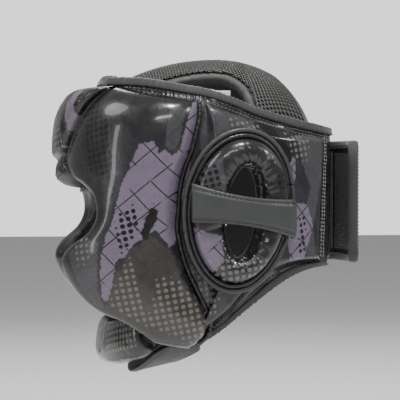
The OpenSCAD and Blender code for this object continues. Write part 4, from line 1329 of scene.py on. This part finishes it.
# ---- Back closure
TAB_END = 196.0
TAB_LOW, TAB_HIGH = -47, 46
PATCH_T, PATCH_H = 1.5, 80.0
FLAP_H, FLAP_L, FLAP_T, FLAP_OPEN = 98.0, 88.0, 4.0, 11.0
FLAP_O = EDGE_T + 1 + 2 * PATCH_T + 3 * GAP + 2.2
FLAP_END = 0.985
HINGE = Vector(next(j["pos_m"] for j in frame["joints"] if j["name"] == "back_flap_hinge")) / MM
TAB_START = float(angle_at(RIM[-1][0], 0.0, REF_O)) + 1.2
FLAP_START = 360 - float(angle_at(RIM[-1][0], 0.0, REF_O)) - 0.5
FLAP_SPAN = FLAP_L / (BACK + FLAP_O) * 180 / math.pi


def back_tab():
    a = np.linspace(TAB_START, TAB_END, 60)
    z = np.linspace(TAB_LOW, TAB_HIGH, 50)
    aa, zz = grid(a, z)
    edge = np.minimum(np.minimum(zz - TAB_LOW, TAB_HIGH - zz), (TAB_END - aa) * 1.8)
    puff = 0.8 * ease(edge / 5) - 0.8
    outer, inner = wrap(aa, zz, EDGE_T + 1 + puff), wrap(aa, zz, 1 + 0 * aa)
    make("loop_tab_cover", *slab(outer, inner), MATTE, "shell", "leather_matte", ["loop_tab"])
    aa, zz = grid(np.linspace(TAB_START + 6, TAB_END - 2, 70), np.linspace(-PATCH_H / 2, PATCH_H / 2, 90))
    rng = np.random.default_rng(12)
    low = EDGE_T + 1 + GAP
    pile = low + PATCH_T + 0.5 * rng.uniform(-0.5, 0.6, aa.shape)
    patch = slab(wrap(aa, zz, pile), wrap(aa, zz, low + 0 * aa - 0.6))
    make("loop_patch_pile", *patch, LOOP, "shell", "hook", ["loop_patch"])
    a = np.linspace(TAB_START + 3, TAB_END - 1.2, 50)
    rows = [wrap(a, np.full_like(a, z0), EDGE_T + 1.05) for z0 in (TAB_LOW + 3, TAB_HIGH - 2.5)]
    make("loop_tab_stitching", *stitches(rows, *SEAM_STITCH), THREAD_DARK, "shell", "tape")


def flap_half(u, less_by=0.0):
    h = FLAP_H / 2 - less_by
    e = np.clip((u - 0.8) / 0.2, 0, 0.999)
    return h - 20 * (1 - np.sqrt(1 - e**3))


def flap_point(u, w, o, less_by=0.0):
    u, w, o = np.broadcast_arrays(np.asarray(u, float), np.asarray(w, float), np.asarray(o, float))
    p = wrap(FLAP_START - FLAP_SPAN * u, 0 * u, o)
    turn = math.radians(FLAP_OPEN)
    x, y = p[..., 0] - HINGE.x, p[..., 1] - HINGE.y
    return np.stack([
        HINGE.x + x * math.cos(turn) - y * math.sin(turn),
        HINGE.y + x * math.sin(turn) + y * math.cos(turn),
        w * flap_half(u, less_by) - 1,
    ], -1)


def back_flap():
    us, ws = np.linspace(FLAP_END - 0.03, 0, 80), np.linspace(-1, 1, 50)
    uu, ww = grid(us, ws)
    edge = np.minimum(1 - np.abs(ww), (1 - uu) * 0.9)
    dent = 0.12 * waves(uu, 81, 5, 3, 8) - 0.5 * ridge(edge - 0.13, 0.02)
    outer = flap_point(uu, ww, FLAP_O + FLAP_T + dent, BINDING_T)
    inner = flap_point(uu, ww, FLAP_O + 0 * uu, BINDING_T)
    make("back_flap_cover", *slab(outer, inner), SMOOTH_BLACK, "back_flap", "leather_matte", ["hook_flap"])
    uu, ww = grid(np.linspace(0.9, 0.3, 60), np.linspace(-1, 1, 80))
    rng = np.random.default_rng(14)
    face = FLAP_O - GAP - PATCH_T - 0.35 * rng.random(uu.shape)
    less_by = (FLAP_H - PATCH_H) / 2
    patch = slab(flap_point(uu, ww, FLAP_O + 0.4, less_by), flap_point(uu, ww, face, less_by))
    make("hook_patch_face", *patch, HOOK, "back_flap", "hook", ["hook_patch"])


def flap_tape():
    """Tape round the flap's two long edges and its end."""
    leg = BINDING_H - 1.0
    n = 60
    low, high = FLAP_O - GAP, FLAP_O + FLAP_T + GAP
    run = np.linspace(0.02, FLAP_END, n)
    q = np.concatenate([
        np.stack([run, 1 + 0 * run], -1),
        np.stack([FLAP_END + 0 * run, 1 - 2 * np.linspace(0, 1, n)], -1)[1:-1],
        np.stack([run[::-1], -1 + 0 * run], -1),
    ])

    def at(k, o):
        near_end = ease((q[:, 0] - 0.8) / 0.2)
        du = near_end * leg / FLAP_L * 1.2
        dz = -q[:, 1] * leg * (1 - 0.3 * near_end)
        return flap_point(q[:, 0] - du * k, q[:, 1], o) + np.stack([0 * dz, 0 * dz, dz * k], -1)

    half, middle = (high - low) / 2 + BINDING_T, (high + low) / 2
    fold = np.radians(np.linspace(90, -90, 9))
    across = [(1.0, half - 0.8), (0.9, half + 0.1), (0.5, half + 0.3)]
    across += [(-0.25 * np.cos(f), half * np.sin(f)) for f in fold]
    across += [(0.5, -half - 0.2), (0.9, -half), (1.0, -half + 0.8)]
    across += [(0.95, -half + 1.4), (0.15, -half + 1.4), (0.15, half - 1.4), (0.95, half - 1.4)]
    rings = np.stack([at(k, middle + o) for k, o in across], 1)
    make("flap_tape", *tube(rings), TAPE, "back_flap", "tape", ["flap_binding"])
    rows = [at(0.82, high + BINDING_T + 0.35), at(0.82, low - BINDING_T - 0.35)]
    make("flap_stitching", *stitches(rows, *HIDDEN_STITCH), THREAD_DARK, "back_flap", "tape")


# ---- Chin bar and strap
CHIN_REACH, CHIN_FRONT, CHIN_SWEEP, CHIN_Z = 58.0, -72.0, 16.0, -115.5
CHIN_H, CHIN_T, CHIN_RISE = 36.0, 26.0, 12.0


def chin_centre(a):
    r = np.radians(a)
    span = math.radians(52)
    x = CHIN_REACH / math.sin(span) * np.sin(r)
    y = CHIN_FRONT + CHIN_SWEEP * (1 - np.cos(r)) / (1 - math.cos(span))
    return np.stack([x, y, CHIN_Z + CHIN_RISE * np.sin(r) ** 2], -1)


def chin_print(points):
    at = place_of(points, signed=True)
    at[:, 0] = np.abs(at[:, 0])
    light = depth_in(at, [[[46, -94], [110, -92], [104, -116], [84, -124], [50, -126]]])
    gray = depth_in(at, [[[0, -96], [26, -98], [18, -122], [0, -118]]])
    lavender = depth_in(at, [[[8, -104], [26, -104], [30, -122], [12, -124]]])
    none = np.full(len(at), FAR)
    return at, np.stack([lavender, gray, none], 1), np.stack([light, none, none], 1)


def chin_bar():
    n, sides = 90, 44
    a = np.linspace(-64, 64, n)
    c = chin_centre(a)
    along = unit(chin_centre(a + 1) - chin_centre(a - 1))
    across = unit(np.cross(along, [0, 0, 1.0]))
    up = np.cross(across, along) * -1
    end = np.sqrt(np.maximum(0, 1 - np.abs(2 * np.linspace(0, 1, n) - 1) ** 6)) * 0.35 + 0.65
    b = np.linspace(0, 2 * np.pi, sides, endpoint=False)
    cb, sb = np.cos(b), np.sin(b)
    wrinkle = 0.15 * waves(np.linspace(0, 1, n), 91, 5, 3, 9)[:, None] * np.abs(sb)[None] ** 2
    wide = (CHIN_T / 2 * end)[:, None] * (np.sign(cb) * np.abs(cb) ** 0.8)[None]
    tall = ((CHIN_H / 2 * end)[:, None] + wrinkle) * (np.sign(sb) * np.abs(sb) ** 0.8)[None]
    rings = c[:, None] + wide[..., None] * across[:, None] + tall[..., None] * up[:, None]
    points, faces = tube(rings)
    faces = [f[::-1] for f in faces]
    loose = np.clip(np.minimum(np.arange(n), np.arange(n)[::-1]) / 8, 0, 1)
    points = swell(points, faces, np.repeat(loose, sides), pressure=4.0, cap=1.5, shrink=-0.01)
    pad = make(
        "chin_pad", points, faces, PRINT, "shell", "leather_print", ["chin_cover", "chin_foam"], chin_print,
        refine=True,
    )


STRAP_END_X, STRAP_END_Z, STRAP_LOW_Z = 66.0, -113.0, -134.0
STRAP_MID_Y, STRAP_SHIFT, STRAP_TILT = -40.0, 22.0, 4.5
CHIN_STRAP_W, CHIN_STRAP_T = 36.0, 3.0
ANCHOR_T = 2.5


def chin_strap_at(s, w, o):
    s, w, o = np.broadcast_arrays(np.asarray(s, float), np.asarray(w, float), np.asarray(o, float))
    w = w * (1 - 0.45 * np.clip((np.abs(s) - 0.86) / 0.14, 0, 1) ** 2.2)
    q = np.abs(s) ** 2.6
    y = STRAP_MID_Y + STRAP_SHIFT * q + w * CHIN_STRAP_W / 2
    z = mix(STRAP_LOW_Z + w * STRAP_TILT, STRAP_END_Z, q) - o
    return np.stack([s * STRAP_END_X, y, z], -1)


def chin_strap():
    ss, ww = grid(np.linspace(-0.98, 1.0, 110), np.linspace(1, -1, 26))
    edge = 1 - np.abs(ww)
    thin = 0.9 * ridge(edge, 0.06) + 0.3 * ridge(edge - 0.2, 0.04)
    top = chin_strap_at(ss, ww, 0 + thin)
    under = chin_strap_at(ss, ww, CHIN_STRAP_T - thin)
    make("chin_strap_cover", *slab(under, top), MATTE, "chin_strap_body", "leather_matte", ["chin_strap"])
    s = np.linspace(-0.95, 0.97, 120)
    rows = [chin_strap_at(s, w, CHIN_STRAP_T - 0.1) for w in (-0.8, 0.8)]
    make("chin_strap_stitching", *stitches(rows, *STRAP_STITCH), THREAD_DARK, "chin_strap_body", "tape")
    ss, ww = grid(np.linspace(0.62, 0.96, 50), np.linspace(0.8, -0.8, 60))
    rng = np.random.default_rng(15)
    fuzz = 0.3 * rng.random(ss.shape)
    hook = slab(chin_strap_at(ss, ww, -GAP + 0 * ss), chin_strap_at(ss, ww, -GAP - PATCH_T + fuzz))
    make("chin_hook_face", *hook, HOOK, "chin_strap_body", "hook", ["chin_hook_patch"])
    for end, s0, s1, o in (("left", 0.6, 1.15, -3 * GAP - 2 * PATCH_T), ("right", -1.15, -0.9, -GAP)):
        along, across = grid(np.linspace(s0, s1, 40), np.linspace(0.85, -0.85, 20))
        soft = 0.7 * ridge(1 - np.abs(across) / 0.85, 0.08)
        low_face, high_face = (chin_strap_at(along, across, o - d) for d in (0.5 * soft, ANCHOR_T - soft))
        tab = slab(low_face, high_face)
        make("chin_anchor_tab_" + end, *tab, MATTE, "shell", "leather_matte", ["chin_anchor_" + end])
    low = -2 * GAP - PATCH_T
    loop = slab(chin_strap_at(ss, ww, low - fuzz), chin_strap_at(ss, ww, low - PATCH_T + 0 * ss))
    make("chin_loop_pile", *loop, LOOP, "shell", "hook", ["chin_loop_patch"])


LABEL_RISE = 3.0


def size_label():
    low, high = (np.array(c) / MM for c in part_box("size_label"))
    yy, zz = grid(np.linspace(low[1], high[1], 24), np.linspace(low[2], high[2], 18))
    share = (zz - low[2]) / (high[2] - low[2])
    x = mix(high[0], low[0], share) - 0.4 + 0.35 * np.sin(np.pi * share) + 0.2 * np.sin((yy - low[1]) / 3)
    front, back = (np.stack([x + half, yy, zz + LABEL_RISE], -1) for half in (0.25, -0.25))
    label = make("size_label_cloth", *slab(front, back), LABEL, "shell", "label", ["size_label"])


temple_pads()
forehead_pad()
linings()
piping()
side_panels()
ear_rings()
ear_straps()
rim_bindings()
temple_strips()
front_tape()
crown_pad()
crown_mesh()
crown_tapes()
back_tab()
back_flap()
flap_tape()
chin_bar()
chin_strap()
size_label()


# ---- Floor, light and world
# The cover is held up by a head, so the floor leaves room for the chin strap to hang at its limit
FLOOR_GAP = 0.11
FLOOR_HALF = 6.0
WORLD_LIGHT, WORLD_SEEN = 0.33, 1.5


def floor():
    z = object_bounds()[0][2] - FLOOR_GAP
    mesh = bpy.data.meshes.new("floor")
    corners = [(x * FLOOR_HALF, y * FLOOR_HALF, z) for x, y in ((-1, -1), (1, -1), (1, 1), (-1, 1))]
    mesh.from_pydata(corners, [], [(0, 1, 2, 3)])
    made = bpy.data.objects.new("floor", mesh)
    bpy.context.scene.collection.objects.link(made)
    sh = Shader("floor_paper", 0.85)
    sh.surface.inputs["Base Color"].default_value = (0.86, 0.86, 0.86, 1.0)
    mesh.materials.append(sh.material)
    made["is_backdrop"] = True


def area_light(name, at, size, power, size_y=None):
    data = bpy.data.lights.new(name, "AREA")
    data.energy = power
    data.size = size
    data.shape = "RECTANGLE" if size_y else "DISK"
    if size_y:
        data.size_y = size_y
    lamp = bpy.data.objects.new(name, data)
    lamp.location = at
    lamp.rotation_euler = (-Vector(at)).to_track_quat("-Z", "Y").to_euler()
    bpy.context.scene.collection.objects.link(lamp)


def lights():
    area_light("key", (0.5, 0.1, 1.3), 0.22, 20.0)
    area_light("front_top", (0.2, -1.0, 1.0), 0.6, 6.0)
    area_light("ear_strip", (1.35, -0.1, 0.85), 0.7, 5.0, 0.14)
    area_light("rear", (0.6, 1.15, 0.8), 0.3, 6.0)
    area_light("front_strip", (0.75, -1.35, 0.25), 0.12, 2.5, 0.8)
    area_light("far_side", (-1.1, 0.1, 0.9), 0.5, 7.0)


def backdrop():
    """A white world. The camera sees it brighter than the light that it gives."""
    world = bpy.data.worlds.new("studio")
    world.use_nodes = True
    nodes, links = world.node_tree.nodes, world.node_tree.links
    back = nodes["Background"]
    back.inputs["Color"].default_value = (1.0, 1.0, 1.0, 1.0)
    path = nodes.new("ShaderNodeLightPath")
    strength = nodes.new("ShaderNodeMapRange")
    strength.inputs["To Min"].default_value = WORLD_LIGHT
    strength.inputs["To Max"].default_value = WORLD_SEEN
    links.new(path.outputs["Is Camera Ray"], strength.inputs["Value"])
    links.new(strength.outputs["Result"], back.inputs["Strength"])
    bpy.context.scene.world = world


floor()
lights()
backdrop()
